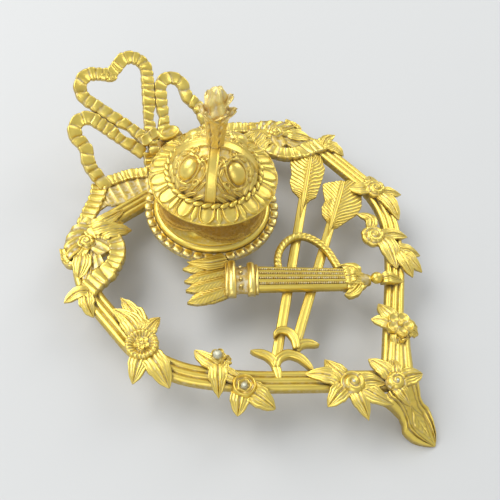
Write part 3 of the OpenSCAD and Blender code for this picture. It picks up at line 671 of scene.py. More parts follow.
def bud_leaf(facing, foot, tip, spread, half, lean_out, twist):
    """A cast leaf that stands on the finial's stem and curls outward at its lobed tip."""
    t, x = along(34), across(17)
    height = foot + (tip - foot) * t - 1.6 * x ** 2 * t ** 4
    out = 2.8 + (spread - 2.8) * t ** 1.3 + lean_out * unit((t - 0.75) / 0.25) ** 1.6
    width = half * np.interp(t, [0, 0.15, 0.5, 0.8, 0.93, 1], [0.70, 0.8, 1.05, 1.25, 1.0, 0.25])
    width = width * (1 + 0.10 * np.sin(t * 26))
    fold = 0.7 * pair(x, 0.84, 0.16) - 0.7 * dent(x, 0.18) + 0.45 * pair(x, 0.40, 0.16)
    angle = facing + twist * t + x * width / np.maximum(out, 3)
    outer, inner = (grid(r * np.cos(angle), r * np.sin(angle), height) for r in (out + 0.9 + fold, out - 0.5))
    # Painted shade along the leaf's middle groove, with a faint wave
    return shut(outer, inner, unit(0.6 * dent(x, 0.14) + 0.12 * np.sin(9 * t + 4 * x)))


bud_leaves = [bud_leaf(*sizes) for sizes in (
    (2.35, 47.4, 71.0, 5.4, 3.6, 2.2, 0.0), (-0.85, 47.8, 71.5, 5.6, 3.8, 2.2, -0.05),
    (-2.75, 47.6, 70.5, 5.2, 3.6, 1.2, -0.45), (-1.90, 47.4, 72.0, 5.0, 3.6, 1.3, 0.45),
    (0.85, 47.8, 74.0, 4.6, 3.4, 1.2, 0.0), (-0.70, 60.0, 77.5, 4.2, 3.0, 1.6, 0.1),
    (1.60, 58.0, 76.0, 4.4, 3.0, 1.2, 0.0))]
bud = casting("finial_bud", [flame] + bud_leaves, rough_cast)
fit(bud, "lid", "gilt_brass", "finial_cup", "finial_flame")

# Ribbon bow
# Strips cast as pleated ribbon and bent into a heart-shaped loop and two side loops, soldered
# at a knot behind the inkwell. The bow leans back and rises from the tray.

random.seed(7)
tilt = math.radians(35)
bow_metal = gilt_brass("gilt_ribbon", (0.92, 0.71, 0.16), (0.36, 0.24, 0.045), 0.34, residue=0.75)


def on_bow(points):
    """Bow plane (x, distance up the slope, height off it) as metres in the CAD's frame."""
    x, y, z = np.transpose(points)
    return in_frame(np.stack([x, 45 + y * math.cos(tilt) - z * math.sin(tilt),
                              y * math.sin(tilt) + z * math.cos(tilt)], -1))


def pleats(s, every, slant):
    """Swelling of a gathered ribbon between its creases, along and across: 1 on a fold, 0 in one."""
    stops = [0.0]
    while stops[-1] < s[-1]:
        stops.append(stops[-1] + every * random.uniform(0.62, 1.38))
    stops = np.array(stops)
    lean, round_off, strength, tip = (np.array([random.uniform(*limits) for _ in stops]) for limits in (
        (-0.55, 0.55), (1.6, 5.0), (0.65, 1.0), (-0.55, 0.75)))
    x, s = across(15), s[:, None]
    s = np.clip(s + np.interp(s, stops, slant + lean) * x + 0.25 * np.sin(2.2 * x + s), 0, stops[-1] - 1e-6)
    k = np.clip(np.searchsorted(stops, s, side="right") - 1, 0, len(stops) - 2)
    u = (s - stops[k]) / (stops[k + 1] - stops[k])
    return unit((1 - np.abs(2 * u - 1) ** round_off[k]) * strength[k] * (1 + tip[k] * (u - 0.5)))


def run_of(line):
    """Distance run along a line of places."""
    return np.concatenate([[0], np.cumsum(np.hypot(*np.diff(line[:, :2], axis=0).T))])


def ribbon(line, half, level=0.0, thick=3.0, every=4.6, slant=0.0, depth=0.9, ends=(1.0, 1.0)):
    """A pleated ribbon along a line, its folds' tops at a level and its back that much lower."""
    s, x = run_of(line), across(15)
    fold = pleats(s, every, slant)
    top = (level - depth * (1 - fold) - 2.7 * unit(np.abs(x) - 0.9) - 0.20 * dent(x, 0.5)
           + 0.16 * pair(x, 0.84, 0.12))
    top = np.minimum(top, level)
    taper = np.interp(s / s[-1], [0, 0.12, 0.88, 1], [ends[0], 1, 1, ends[1]])
    out = (half * taper)[:, None] * (0.90 + 0.10 * fold) + 0.12 * np.sin(s * 1.3)[:, None] * x
    xs = line[:, 0:1] + out * x * np.sin(line[:, 2:3])
    ys = line[:, 1:2] - out * x * np.cos(line[:, 2:3])
    # Painted shade in the creases between the pleats and at the edges
    dark = unit(0.85 * (1 - fold) ** 2.6 + 0.2 * (np.abs(x) > 0.95))
    return shut(grid(xs, ys, top), grid(xs, ys, level - thick), dark)


def pinched(line, at, reach, most, side):
    """A ribbon's line moved from one of its edges at a place, and how much its half width loses."""
    loss = most / 2 * dent(run_of(line) - at, reach)
    moved = line.copy()
    moved[:, 0] += side * loss * np.sin(line[:, 2])
    moved[:, 1] -= side * loss * np.cos(line[:, 2])
    return moved, loss


def mirrored(parts, sign):
    """The same parts, or with sign -1 their mirror images across the heart's middle line."""
    return [(points * (sign, 1, 1), quads, hollow) for points, quads, hollow in parts]


heart_line = walk((2.5, 15), 61, [(35.7, 0), (8.5, 144), (15.5, 0)], 0.45)
heart_line, heart_loss = pinched(heart_line[heart_line[:, 0] > -0.8], 9.7, 4.2, 1.5, -1)
heart_parts = []
for sign in (1, -1):
    heart_half = ribbon(heart_line, 3.6 - heart_loss, every=4.9, slant=0.4 * sign, ends=(1, 0.9))
    heart_parts += mirrored([heart_half], sign)
# The ribbon turns over itself in the heart's dent
heart_parts.append(ribbon(walk((-6.4, 55.6), -38, [(3, 0), (9, 30), (2, 0)], 0.4), 2.0, 0.0, 2.8, every=3.4,
                          ends=(0.5, 0.6)))
heart_loop = casting("bow_heart_ribbon", heart_parts, bow_metal, on_bow)
fit(heart_loop, "stand", "burnished_brass", "bow_heart_loop")

side_line, side_loss = pinched(
    walk((7.2, 7.0), 62, [(31.6, 0), (7.6, -174), (9, 52), (14, -37), (12.6, 0)], 0.45), 14.6, 4.4, 1.6, 1)
for side, sign in (("left", -1), ("right", 1)):
    side_half = ribbon(side_line, 3.7 - side_loss, every=5.0, slant=-0.4)
    loop = casting("bow_side_ribbon_" + side, mirrored([side_half], sign), bow_metal, on_bow)
    fit(loop, "stand", "burnished_brass", "bow_loop_" + side)

# Knot: plump turns of ribbon across the loops' feet, on a tongue that joins the ring
knot = casting("bow_knot_turns", [
    ribbon(walk((-6.4, 12.4), 10, [(12.8, 0)], 0.4), 3.1, 2.2, 5.2, 9, 0.8, 1.2, (0.45, 0.45)),
    ribbon(walk((-3.0, 3.4), 62, [(9.6, 0)], 0.4), 3.0, 1.6, 4.6, 5.5, -0.4, ends=(0.6, 0.6)),
    ribbon(walk((-6.6, 15.6), -14, [(13.4, 0)], 0.4), 2.6, 1.0, 4.0, 5.2, -0.6, ends=(0.6, 0.6)),
    ribbon(walk((-4.6, 6.5), -112, [(8.4, 0), (12, 18)], 0.4), 3.4, -0.2, 2.8, 4.4),
    ribbon(walk((4.6, 6.5), -68, [(8.4, 0), (12, -18)], 0.4), 3.4, -0.2, 2.8, 4.4)], bow_metal, on_bow)
fit(knot, "stand", "burnished_brass", "bow_knot")
tongue_line = walk((0, 33), 90, [(16.5, 0)], 0.8)
tongue_half = np.interp(run_of(tongue_line), [0, 3, 16.5], [10.5, 10, 8.4])
tongue_folds = np.abs(np.sin(9 * across(15)))
tongue_top = -0.1 - 4.5 * unit(np.abs(across(15)) - 0.8) - 0.4 * tongue_folds
# Painted shade in the low folds of the tongue
tongue_strip = strip(tongue_line, tongue_half, tongue_top, -2.0, 0.8 * tongue_folds ** 3)
fit(casting("bow_tongue", [tongue_strip], gilt), "stand", "gilt_brass")

# Ribbon tails and lobe bows
# From each side loop the ribbon comes down to the heart's lobe, where it is tied round the rod
# in a small bow with a rose on its knot. A pleated web fills the corner by the rod.


def curve_through(points, pace=0.5):
    """Places [x, y, heading] on a smooth curve through plan points."""
    p = np.asarray(points, float)
    run = run_of(p)
    padded = np.vstack([2 * p[0] - p[1], p, 2 * p[-1] - p[-2]])
    out = []
    for i in range(len(p) - 1):
        a, b, c, d = padded[i:i + 4]
        for u in np.linspace(0, 1, max(2, int((run[i + 1] - run[i]) / pace)), endpoint=False):
            out.append(0.5 * (2 * b + (c - a) * u + (2 * a - 5 * b + 4 * c - d) * u ** 2
                              + (3 * b - a - 3 * c + d) * u ** 3))
    out = np.array(out + [p[-1]])
    step = np.gradient(out, axis=0)
    return np.hstack([out, np.unwrap(np.arctan2(step[:, 1], step[:, 0]))[:, None]])


def between(first, second, rows, columns, lift, floor, dark):
    """A web between two plan lines: lift and dark (painted shade) are functions of the place along and
    across.
    """
    s, x = along(rows), along(columns).T
    a, b = (np.hstack([np.interp(s, along(len(line))[:, 0], column) for column in np.transpose(line)])
            for line in (first, second))
    flat = a[:, None, :] * (1 - x[..., None]) + b[:, None, :] * x[..., None]
    top = np.broadcast_to(lift(s, x), (rows, columns))
    return shut(np.dstack([flat, top]), np.dstack([flat, np.minimum(floor, top - 0.3)]), unit(dark(s, x)))


def crimp(v):
    """Height of even folds, from 0 to 1."""
    return np.abs(np.sin(v))


def leaf(base, tip, width, lift=2.0, low=-0.3, point=0.75, bow=0.0, teeth=0.0, narrow=False,
         thick=1.7, rest=1.2):
    """A cast leaf from base to tip in plan, arched, with a rib and grooves, its tip dropping to low."""
    base, tip = np.array(base, float), np.array(tip, float)
    t, x = along(40), across(31)
    d = tip - base
    mid = base + d * t + np.array([-d[1], d[0]]) * bow * np.sin(math.pi * t)
    step = np.gradient(mid, axis=0)
    heading = np.arctan2(step[:, 1], step[:, 0])[:, None]
    shape = np.sqrt(t + 0.08) * unit(1.0 - t) ** (0.48 + 0.62 * point)
    tooth = (3.1 * t + 0.2) % 1
    notch = np.where(tooth < 0.8, tooth / 0.8, (1 - tooth) / 0.2)
    shape = shape / shape.max() * (1 + (0.10 + teeth) * (notch - 0.5) * (t > 0.12) * (t < 0.93))
    half = np.maximum(width / 2 * shape, 0.12)
    xs = mid[:, 0:1] + half * x * np.sin(heading)
    ys = mid[:, 1:2] - half * x * np.cos(heading)
    heights = [rest, rest + lift * 0.75, rest * 0.35 + lift * 0.5, low]
    arch = np.polyval(np.polyfit([0, 0.3, 0.7, 1], heights, 3), t)
    grooves = pair(x, 0.46 - 0.10 * t, 0.06) + 0.8 * pair(x, 0.78 - 0.14 * t, 0.05) * (not narrow)
    top = arch + np.clip(half / 2.2, 0.15, 1) * (
        0.45 * (1 - x ** 2) - 0.70 * dent(x, 0.08) + 0.26 * pair(x, 0.28, 0.13) - 0.30 * grooves
        + 0.14 * pair(x, 0.93, 0.08))
    # Painted shade along the rib, in the grooves and at the edges
    dark = unit(0.85 * dent(x, 0.09) + 0.55 * grooves + 0.15 * (np.abs(x) > 0.97))
    bottom = np.minimum(arch - thick * np.interp(t, [0, 0.8, 1], [1, 0.9, 0.4]), top - 0.3)
    return shut(grid(xs, ys, top), grid(xs, ys, np.maximum(bottom, -2.4)), dark)


def flower_head(centre, edge, top, dark, foot=-0.6):
    """Closes a flower head from its outline's radius, its upper heights and its painted shade."""
    radii = np.hstack([edge * np.linspace(0, 1, top.shape[1]), edge * 0.86, 0 * edge])
    return turned(radii, rows_with([], top, [foot, foot]), rows_with([], unit(dark), [0.6, 0.6]), centre)


def rolled_rose(centre, radius, petals, height, spin, cup, frill, rolls=2.1, turn=1):
    """A rose of petals rolled into a spiral, its turn 1 or -1, with a lobed edge."""
    a, r = around(120), along(30).T
    lobe = np.abs(np.cos((a - spin) * petals / 2))
    split = dent(lobe * r * radius * 3.2 / petals, 0.30) * (r > 0.62)
    roll = np.sin(math.pi * ((r * rolls - turn * a / (2 * math.pi)) % 1)) ** 0.7
    top = (height * (0.55 + 0.45 * (1 - r ** 2)) + cup * (roll - 0.6) * unit(r * 4)
           - 0.5 * split - 0.9 * unit((r - 0.93) / 0.07))
    # Painted shade in the spiral's creases and the petals' splits
    dark = np.maximum((1 - roll) ** 1.4 * unit(r * 5), 0.7 * split)
    return flower_head(centre, radius * (1 - frill + frill * lobe ** 0.6), top, dark)


def web_folds(along_folds, lift, fall, dark, dark_folds):
    """Lift and painted shade of a web whose folds run across it and die out towards its second line."""
    return (lambda s, x: lift - fall * crimp(s * along_folds) * (1 - x), -2.0,
            lambda s, x: dark + dark_folds * crimp(s * along_folds))


tail_parts = [
    ribbon(curve_through([(-38.5, 50), (-43.6, 44.2), (-50, 39.2), (-57, 34.2), (-60.5, 31.5)]),
           4.3, 0.6, 2.6, 3.6),
    ribbon(curve_through([(-36, 49.6), (-29, 48.2), (-21, 46.2), (-12.5, 41.5)]),
           3.6, 0.4, 2.4, 2.7, depth=1.0),
    ribbon(walk((-61.4, 34.4), -52, [(9.6, 0)], 0.4), 3.0, 1.9, 3.6, 3.2),
    between([(-40.5, 47.5), (-33, 47), (-26, 46.5), (-18, 43.5), (-11.5, 39)],
            [(-42, 33.6), (-36, 31.6), (-30, 29.4), (-24, 28.2), (-20, 28.2)], 70, 12,
            *web_folds(17, -1.0, 0.7, 0.30, 0.45)),
    between([(-39, 48.5), (-44, 43), (-50, 38.6), (-56.5, 34)],
            [(-41, 33.9), (-43.5, 35.6), (-48.5, 35.0), (-55.5, 31)],
            50, 12, *web_folds(14, -0.9, 0.4, 0.40, 0.35)),
    leaf((-60, 25), (-43.4, 20.2), 9, 2.2, point=0.6, bow=-0.06, teeth=0.10),
    leaf((-58, 20), (-43.2, 13.4), 9.5, 1.6, point=0.55, bow=0.05, teeth=0.12),
    leaf((-56, 26), (-38, 27.4), 8, 1.6, point=0.7, bow=-0.05, teeth=0.05)]

lobe_parts = [
    # Folds gathered under the wrap and fanned over the lobe's shoulder
    between([(-61, 33.5), (-66, 33.5), (-71.5, 30.2), (-76, 25.6), (-79.4, 20.4), (-80.3, 16)],
            [(-58.5, 27.5), (-60.5, 25.5), (-62.5, 24), (-64.5, 22.5), (-67, 20.5), (-69, 17.5)], 90, 22,
            lambda s, x: 0.7 + 1.9 * np.sin(math.pi * unit(x * 0.85 + 0.15)) ** 0.7
            - 0.75 * crimp(s * 15 + x * 2.2) ** 0.6 - 0.9 * (1 - unit(x * 6)), -1.9,
            lambda s, x: 0.9 * dent(crimp(s * 15 + x * 2.2) - 1.0, 0.25)),
    # Outer curl with its eye, then the inner loop of wide ribbon
    ribbon(curve_through([(-77.6, 24), (-80.0, 19.0), (-80.2, 14.6), (-77.6, 12.6), (-75.0, 14.4),
                          (-74.6, 17.4)], 0.35), 1.5, 1.7, 3.6, 2.6, depth=0.5),
    ribbon(curve_through([(-64.6, 23.0), (-60.5, 22.6), (-56.6, 20.2), (-54.2, 15.6), (-54.8, 9.8),
                          (-58.2, 4.6), (-63.0, 1.0), (-67.5, -0.6)]),
           4.2, 2.3, 4.2, 3.7, depth=1.1, ends=(0.7, 1)),
    # Whitish folds that close the loop round a small hole, with painted shade in their creases
    between([(-60.4, 22), (-57.8, 17.5), (-57.4, 13.5), (-57.6, 10.6), (-58.8, 8.6)],
            [(-68, 18.5), (-66.8, 14), (-66.4, 11.6), (-66.0, 10.0), (-65.0, 9.2)], 44, 24,
            lambda s, x: 1.7 - 0.45 * crimp(x * 7.0 + s * 2) + 0.4 * x * (1 - x), -2.0,
            lambda s, x: 0.25 + 0.45 * crimp(x * 7.0 + s * 2) ** 2),
    between([(-64.8, 10.4), (-65.3, 7.6), (-66.0, 4.6)], [(-68.5, 11.0), (-70.5, 7.4), (-72.5, 3.6)], 24, 12,
            lambda s, x: 1.3 - 0.35 * crimp(x * 5.0), -2.0, lambda s, x: 0.25 + 0.35 * crimp(x * 5.0) ** 2),
    # Narrow tail that falls from the rose, with a leaf beside it
    ribbon(curve_through([(-67.5, 17.5), (-71.5, 15.2), (-77, 13.2)]),
           2.0, 1.9, 3.6, 6, depth=0.5, ends=(1, 0.5)),
    leaf((-71.5, 15), (-81.2, 5.2), 9.5, 1.0, -0.6, 0.35, 0.05),
    # Folds between the rose and the wrap, with painted shade in the creases and whitish polish
    between([(-72.5, 15.5), (-75.5, 9), (-79, 3.5), (-82, -1)],
            [(-63.5, 16.5), (-67.6, 9.5), (-72, 4.2), (-76, -0.5)], 60, 18,
            lambda s, x: 0.9 - 0.9 * crimp(x * 9.0 + s) + 0.3 * s, -2.0,
            lambda s, x: 0.35 + 0.65 * crimp(x * 9.0 + s) ** 2),
    # Ribbon wound slantwise round the rod
    ribbon(curve_through([(-64.5, -0.6), (-70, -1.4), (-75.5, -2.4), (-80.6, -4.0), (-85, -5.2)]),
           5.0, 2.5, 4.4, 4.4, 1.0, 1.2, (0.9, 0.8)),
    # Curled leaf tip that stands off the lobe, and the lobed leaf under it
    leaf((-81, -5.6), (-93.9, -3.2), 6.4, 1.6, 0.9, 0.5, -0.13, narrow=True),
    leaf((-82, -4), (-87.2, -17.2), 7.5, 0.8, -1.2, 0.4, -0.08, 0.12),
    rolled_rose((-66.2, 19.8), 4.9, 5, 3.6, spin=0.4, cup=0.8, frill=0.16)]

for side, sign in (("left", 1), ("right", -1)):
    tail = casting("ribbon_tail_casting_" + side, mirrored(tail_parts, sign), bow_metal)
    fit(tail, "stand", "burnished_brass", "ribbon_tail_" + side)
    lobe_bow = casting("lobe_bow_casting_" + side, mirrored(lobe_parts, sign), bow_metal)
    fit(lobe_bow, "stand", "burnished_brass", "lobe_bow_" + side)

# Sprays of leaves and flowers
# Cast sprays lie over the rods: fluted leaves round a rosette, a rolled rose or an open flower.
# Each is one casting, soldered to the rods, with polish left round the flowers.

petal_turn = around(140)
petal_run = along(34).T


def petals_about(count, spin):
    """Half the angle between petals, and the angle off the nearest petal's middle."""
    half_pitch = math.pi / count
    return half_pitch, ((petal_turn - spin + half_pitch) % (2 * half_pitch)) - half_pitch


def round_petals(centre, radius, petals, height, spin=0.0, bead_r=0.20):
    """A flower of separate round dished petals about a small bead."""
    half_pitch, off = petals_about(petals, spin)
    reach_to, petal_r = 0.51, 0.49
    edge = radius * (reach_to * np.cos(off) + np.sqrt(petal_r ** 2 - (reach_to * np.sin(off)) ** 2))
    r = edge / radius * petal_run
    d = np.hypot(r * np.cos(off) - reach_to, r * np.sin(off)) / petal_r
    seam = pair(off, half_pitch, 0.07) * (petal_run > 0.25)
    bowl = 0.08 * dent(d - 0.82, 0.13) - 0.15 * unit(1 - d / 0.75) - 0.05 * seam
    top = height * (0.62 + bowl + 0.18 * rounded(r / bead_r) - 0.16 * unit((petal_run - 0.92) / 0.08))
    # Painted shade round the bead, in the seams and in the petals' dishes
    dark = 0.9 * dent(r - bead_r * 1.15, 0.04) + 0.8 * seam + 0.2 * dent(d - 0.3, 0.3)
    return flower_head(centre, edge, top, dark)


def cup_rose(centre, radius, height, spin=0.0, petals=5):
    """A rose opened to a cup with a rolled, lobed rim, a second rim inside it and a bead."""
    wave = np.cos(petals * (petal_turn - spin))
    r = petal_run * (1 + 0.05 * wave)
    inner = petal_run * (1 - 0.02 * wave)
    top = height * (0.50 + 0.40 * dent(r - 0.80, 0.13) + 0.24 * dent(inner - 0.47, 0.12)
                    + 0.25 * rounded(r / 0.22) - 0.30 * unit((petal_run - 0.93) / 0.07))
    # Painted shade in the grooves between the rims
    dark = 0.6 * dent(inner - 0.63, 0.06) + 0.3 * dent(inner - 0.28, 0.06)
    return flower_head(centre, radius * (0.95 + 0.05 * wave), top, dark)


def shell_rosette(centre, radius, height, spin=0.0):
    """A ring of fine shell ribs round a small five-lobed flower with a bead."""
    _, off = petals_about(5, spin)
    d = np.hypot(petal_run * np.cos(off) - 0.28, petal_run * np.sin(off)) / 0.20
    heart = unit((1.1 - d) / 0.2)
    dish = unit((0.52 - petal_run) / 0.05)
    ribs = crimp(11 * (petal_turn - spin) + 1.2 * petal_run) ** 0.7
    top = height * (0.42 + 0.24 * dent(petal_run - 0.80, 0.25) + (0.14 * ribs - 0.08) * (1 - dish)
                    + heart * (0.16 + 0.07 * dent(d - 0.75, 0.2)) + 0.26 * rounded(petal_run / 0.13)
                    - 0.35 * unit((petal_run - 0.94) / 0.06))
    # Painted shade between the ribs and in the dish round the small flower
    dark = 0.6 * (1 - ribs) * (1 - dish) + 0.75 * dish * (1 - heart) * (petal_run > 0.14)
    return flower_head(centre, radius * (0.95 + 0.05 * np.abs(np.cos(9 * (petal_turn - spin)))), top, dark)


def stud(centre, radius, height, foot, dome=0.98):
    """A worn bud or stud: a low dome, faintly milled towards its edge."""
    a, r = around(120), along(30).T
    milled = 0.16 * np.cos(60 * a) * unit((r - 0.35) / 0.2)
    nicks = dent(np.cos(6 * a) * r * radius * 3.2 / 12, 0.30) * (r > dome)
    top = (height * (0.6 + 0.4 * rounded(r / dome)) - 0.8 * nicks + milled
           + 0.12 * np.cos(7 * a) * dent(r - dome * 0.7, 0.06) - 0.9 * unit((r - 0.93) / 0.07))
    # Painted shade in the nicks, round the stud's foot and in the milling's hollows
    dark = nicks + 0.9 * dent(r - dome * 1.12, 0.05) + 0.35 * (milled < -0.05)
    return flower_head(centre, np.full((120, 1), radius), top, dark, foot)


# The right lower spray ends in a reeded sheath round the rods
sheath_line = curve_through([(20.8, -117.2), (15.5, -121.4), (10.0, -126.2), (5.6, -130.2)])
sheath_reeds = np.abs(np.cos(1.5 * math.pi * across(41))) ** 0.6
# Painted shade in the sheath's grooves
sheath = strip(sheath_line, np.linspace(4.7, 6.5, len(sheath_line)),
               0.7 + 0.75 * sheath_reeds - 0.7 * across(41) ** 4, -2.0, 0.8 * (1 - sheath_reeds) ** 1.5)

# Leaves are base, tip, width, lift, height of the tip, bluntness, bend and teeth
sprays = {
    "left_upper": ([
        ((-77, -40), (-78.2, -20.0), 10.5, 2.4, 0.9, 0.8, -0.08),
        ((-75, -40), (-71.4, -16.8), 9.5, 1.4, -0.2, 0.75, -0.05, 0.22),
        ((-75.5, -40), (-67.3, -30.8), 6.0, 1.6, -0.2),
        ((-77, -43), (-63.2, -37.4), 8.0, 1.8, -0.4, 0.5, 0.06),
        ((-80, -47), (-92.9, -56.6), 9.5, 1.4, -0.8, 0.55),
        ((-79, -49), (-81.6, -68.6), 11.0, 1.8, -0.6, 0.45, 0.03)],
        [shell_rosette((-79.0, -44.8), 8.0, 6.2, spin=0.2)]),
    "left_middle": ([
        ((-58.5, -76), (-61.6, -61.4), 7.0, 1.8, 0.2, 0.3, 0.05),
        ((-57.5, -76), (-51.0, -73.4), 6.0, 1.6, 0.3, 0.3, 0.0, 0.25),
        ((-57.5, -73), (-67.8, -86.2), 9.0, 2.0, -0.6, 0.75, 0.0, 0.10),
        ((-59, -76), (-52, -89), 6.5, 1.4, 0.6, 0.8, -0.1),
        ((-58, -90), (-66.8, -97.8), 9.0, 1.5, -0.6, 0.5),
        ((-56, -92), (-51.8, -106.2), 10.0, 1.6, -0.6, 0.45),
        ((-55, -91), (-48.5, -99.4), 6.5, 1.2, -0.3, 0.5)],
        [round_petals((-55.8, -71.4), 3.9, 5, 4.8, spin=0.4), cup_rose((-56.3, -90.0), 6.2, 5.0, spin=0.5)]),
    "left_lower": ([
        ((-18, -117), (-17.8, -103.4), 8.0, 2.0, 0.0, 0.55, 0.05),
        ((-20, -116), (-30.2, -102.8), 8.0, 1.8, -0.2, 0.7, -0.06),
        ((-20, -119), (-33.0, -120.4), 9.0, 1.6, -0.6, 0.55),
        ((-18, -122), (-23.2, -136.6), 8.5, 1.6, -0.8, 0.75),
        ((-16, -122), (-9.2, -139.0), 9.0, 1.6, -0.8, 0.7, -0.04),
        ((-15, -122), (-4.6, -130.4), 8.0, 2.2, 0.6, 0.7, 0.06)],
        [rolled_rose((-17.1, -120.3), 6.0, 4, 4.6, spin=0.9, cup=1.1, frill=0.05, rolls=1.8)]),
    "point": ([
        ((-1.2, -130), (-1.6, -116.5), 8.0, 2.2, 0.2, 0.5, -0.04),
        ((0.5, -131), (7.6, -122.8), 7.0, 2.0, 0.3, 0.45),
        ((1, -133), (12.9, -137.8), 8.5, 2.2, -0.2, 0.4),
        ((-2.5, -134), (-4.0, -144.6), 7.0, 1.8, -0.6, 0.8)],
        [rolled_rose((-1.2, -132.9), 5.2, 5, 4.6, spin=0.2, cup=0.9, frill=0.06, rolls=1.7, turn=-1)]),
    "right_lower": ([
        ((23, -112), (25.0, -99.3), 8.5, 2.2, 0.2, 0.5, 0.04),
        ((20.5, -113), (15.6, -102.8), 7.5, 2.0, 0.0, 0.5, -0.05),
        ((24, -115), (30.4, -120.6), 8.0, 1.4, -0.4, 0.4, 0.0, 0.2),
        ((24, -117), (27.5, -123.5), 7.0, 1.4, -0.4, 0.4, 0.0, 0.2),
        ((18.5, -116), (13.6, -121.5), 6.5, 1.6, 0.0, 0.35)],
        [round_petals((22.4, -114.6), 7.0, 5, 6.4, spin=0.3),
         round_petals((18.4, -119.4), 3.2, 4, 5.0, spin=0.7, bead_r=0.35), sheath]),
    "right_middle": ([
        ((56.2, -66), (58.8, -53.0), 6.4, 2.0, 0.8, 0.5, -0.30, 0.0, True),
        ((57, -72), (69.8, -81.2), 7.5, 1.6, -0.4, 0.6, 0.06),
        ((57.0, -73), (48.6, -91.4), 10.5, 2.6, 0.6, 0.5, 0.04),
        ((58, -83), (65.6, -93.6), 7.0, 1.6, -0.4, 0.6),
        ((58, -84), (58.2, -101.0), 7.5, 1.4, -0.6, 0.5),
        ((57, -84), (52.0, -100.0), 7.5, 1.4, -0.6, 0.5)],
        [rolled_rose((53.8, -69.9), 6.9, 7, 4.4, spin=0.2, cup=1.0, frill=0.08)]),
    "right_upper": ([
        ((80.5, -51), (90.6, -59.2), 7.0, 1.6, -0.4, 0.75),
        ((79.5, -51), (75.2, -70.6), 8.5, 2.0, -0.2, 0.6, 0.07),
        ((79, -46), (69.6, -37.2), 8.5, 1.8, 0.6, 0.5, 0.08),
        ((80, -45), (86.5, -38.2), 7.0, 1.4, -0.2, 0.5)],
        [rolled_rose((80.2, -48.0), 6.5, 7, 4.2, spin=0.0, cup=1.0, frill=0.10)])}
for where, (leaves, flowers) in sprays.items():
    spray = casting("spray_" + where, [leaf(*sizes) for sizes in leaves] + flowers, bow_metal)
    fit(spray, "stand", "burnished_brass", "sprig_" + where)

worn = gilt_brass("worn_pale_buds", (0.82, 0.84, 0.74), (0.62, 0.60, 0.46), 0.60, residue=1.0, grain=0.6)
worn_buds = casting("spray_worn_buds", [
    stud((-55.8, -70.9), 2.3, 4.6, 0.5), stud((-56.3, -90.0), 1.7, 3.9, 0.5),
    stud((-17.3, -120.5), 1.3, 5.0, 0.5), stud((-1.3, -133.0), 1.2, 5.0, 0.5)], worn)
fit(worn_buds, "stand", "burnished_brass")

# Arrows
# Two arrows are cast flat and lie across the heart under the quiver: a long shaft with bent
# barbs at its tail and two vanes of ridged feather that end against the ribbon.


def shaft(start, end, top=-0.5):
    """A half-round shaft with a fine line along each side."""
    d = np.subtract(end, start)
    line = walk(start, math.degrees(math.atan2(d[1], d[0])), [(float(np.hypot(*d)), 0)], 1.0)
    x = across(21)
    # Painted shade in the fine lines along the shaft
    return strip(line, 2.5, top - 1.1 * (1 - rounded(x * 0.98)) - 0.14 * pair(x, 0.62, 0.08), -5.1,
                 0.45 * pair(x, 0.62, 0.10))


def feather(inner, outer, ridges, slope):
    """One vane of an arrow's feather: fine barbs slant forward from the quill to the edge."""
    def barbs(s, x):
        return np.abs(np.cos(math.pi * (s * ridges - x * slope)))
    # Painted shade between the barbs and along the quill
    return between(
        inner, outer, 130, 40,
        lambda s, x: -0.25 - 1.1 * x ** 2 + 0.5 * np.sin(math.pi * unit(x * 1.6))
        + 0.55 * barbs(s, x) ** 0.8 * unit(x * 6),
        -2.2, lambda s, x: 0.7 * (1 - barbs(s, x) ** 0.7) * unit(x * 8) + dent(x - 0.04, 0.05))


def barb(points, half=2.1, top=0.0, bottom=-3.4):
    """A bent bar with a groove down its middle, tapering to a point at its far end."""
    line = curve_through(points, 0.5)
    x = across(13)
    s = run_of(line)[:, None] / run_of(line)[-1]
    width = half * np.interp(s, [0, 0.35, 0.7, 0.9, 1], [0.85, 1, 0.85, 0.5, 0.08])
    crown = top - 0.6 * x ** 4 - 0.40 * dent(x, 0.16) + 0.4 * np.sin(math.pi * s)
    # Painted shade in the groove down the bar's middle
    return strip(line, width, crown, bottom, 0.55 * dent(x, 0.18))


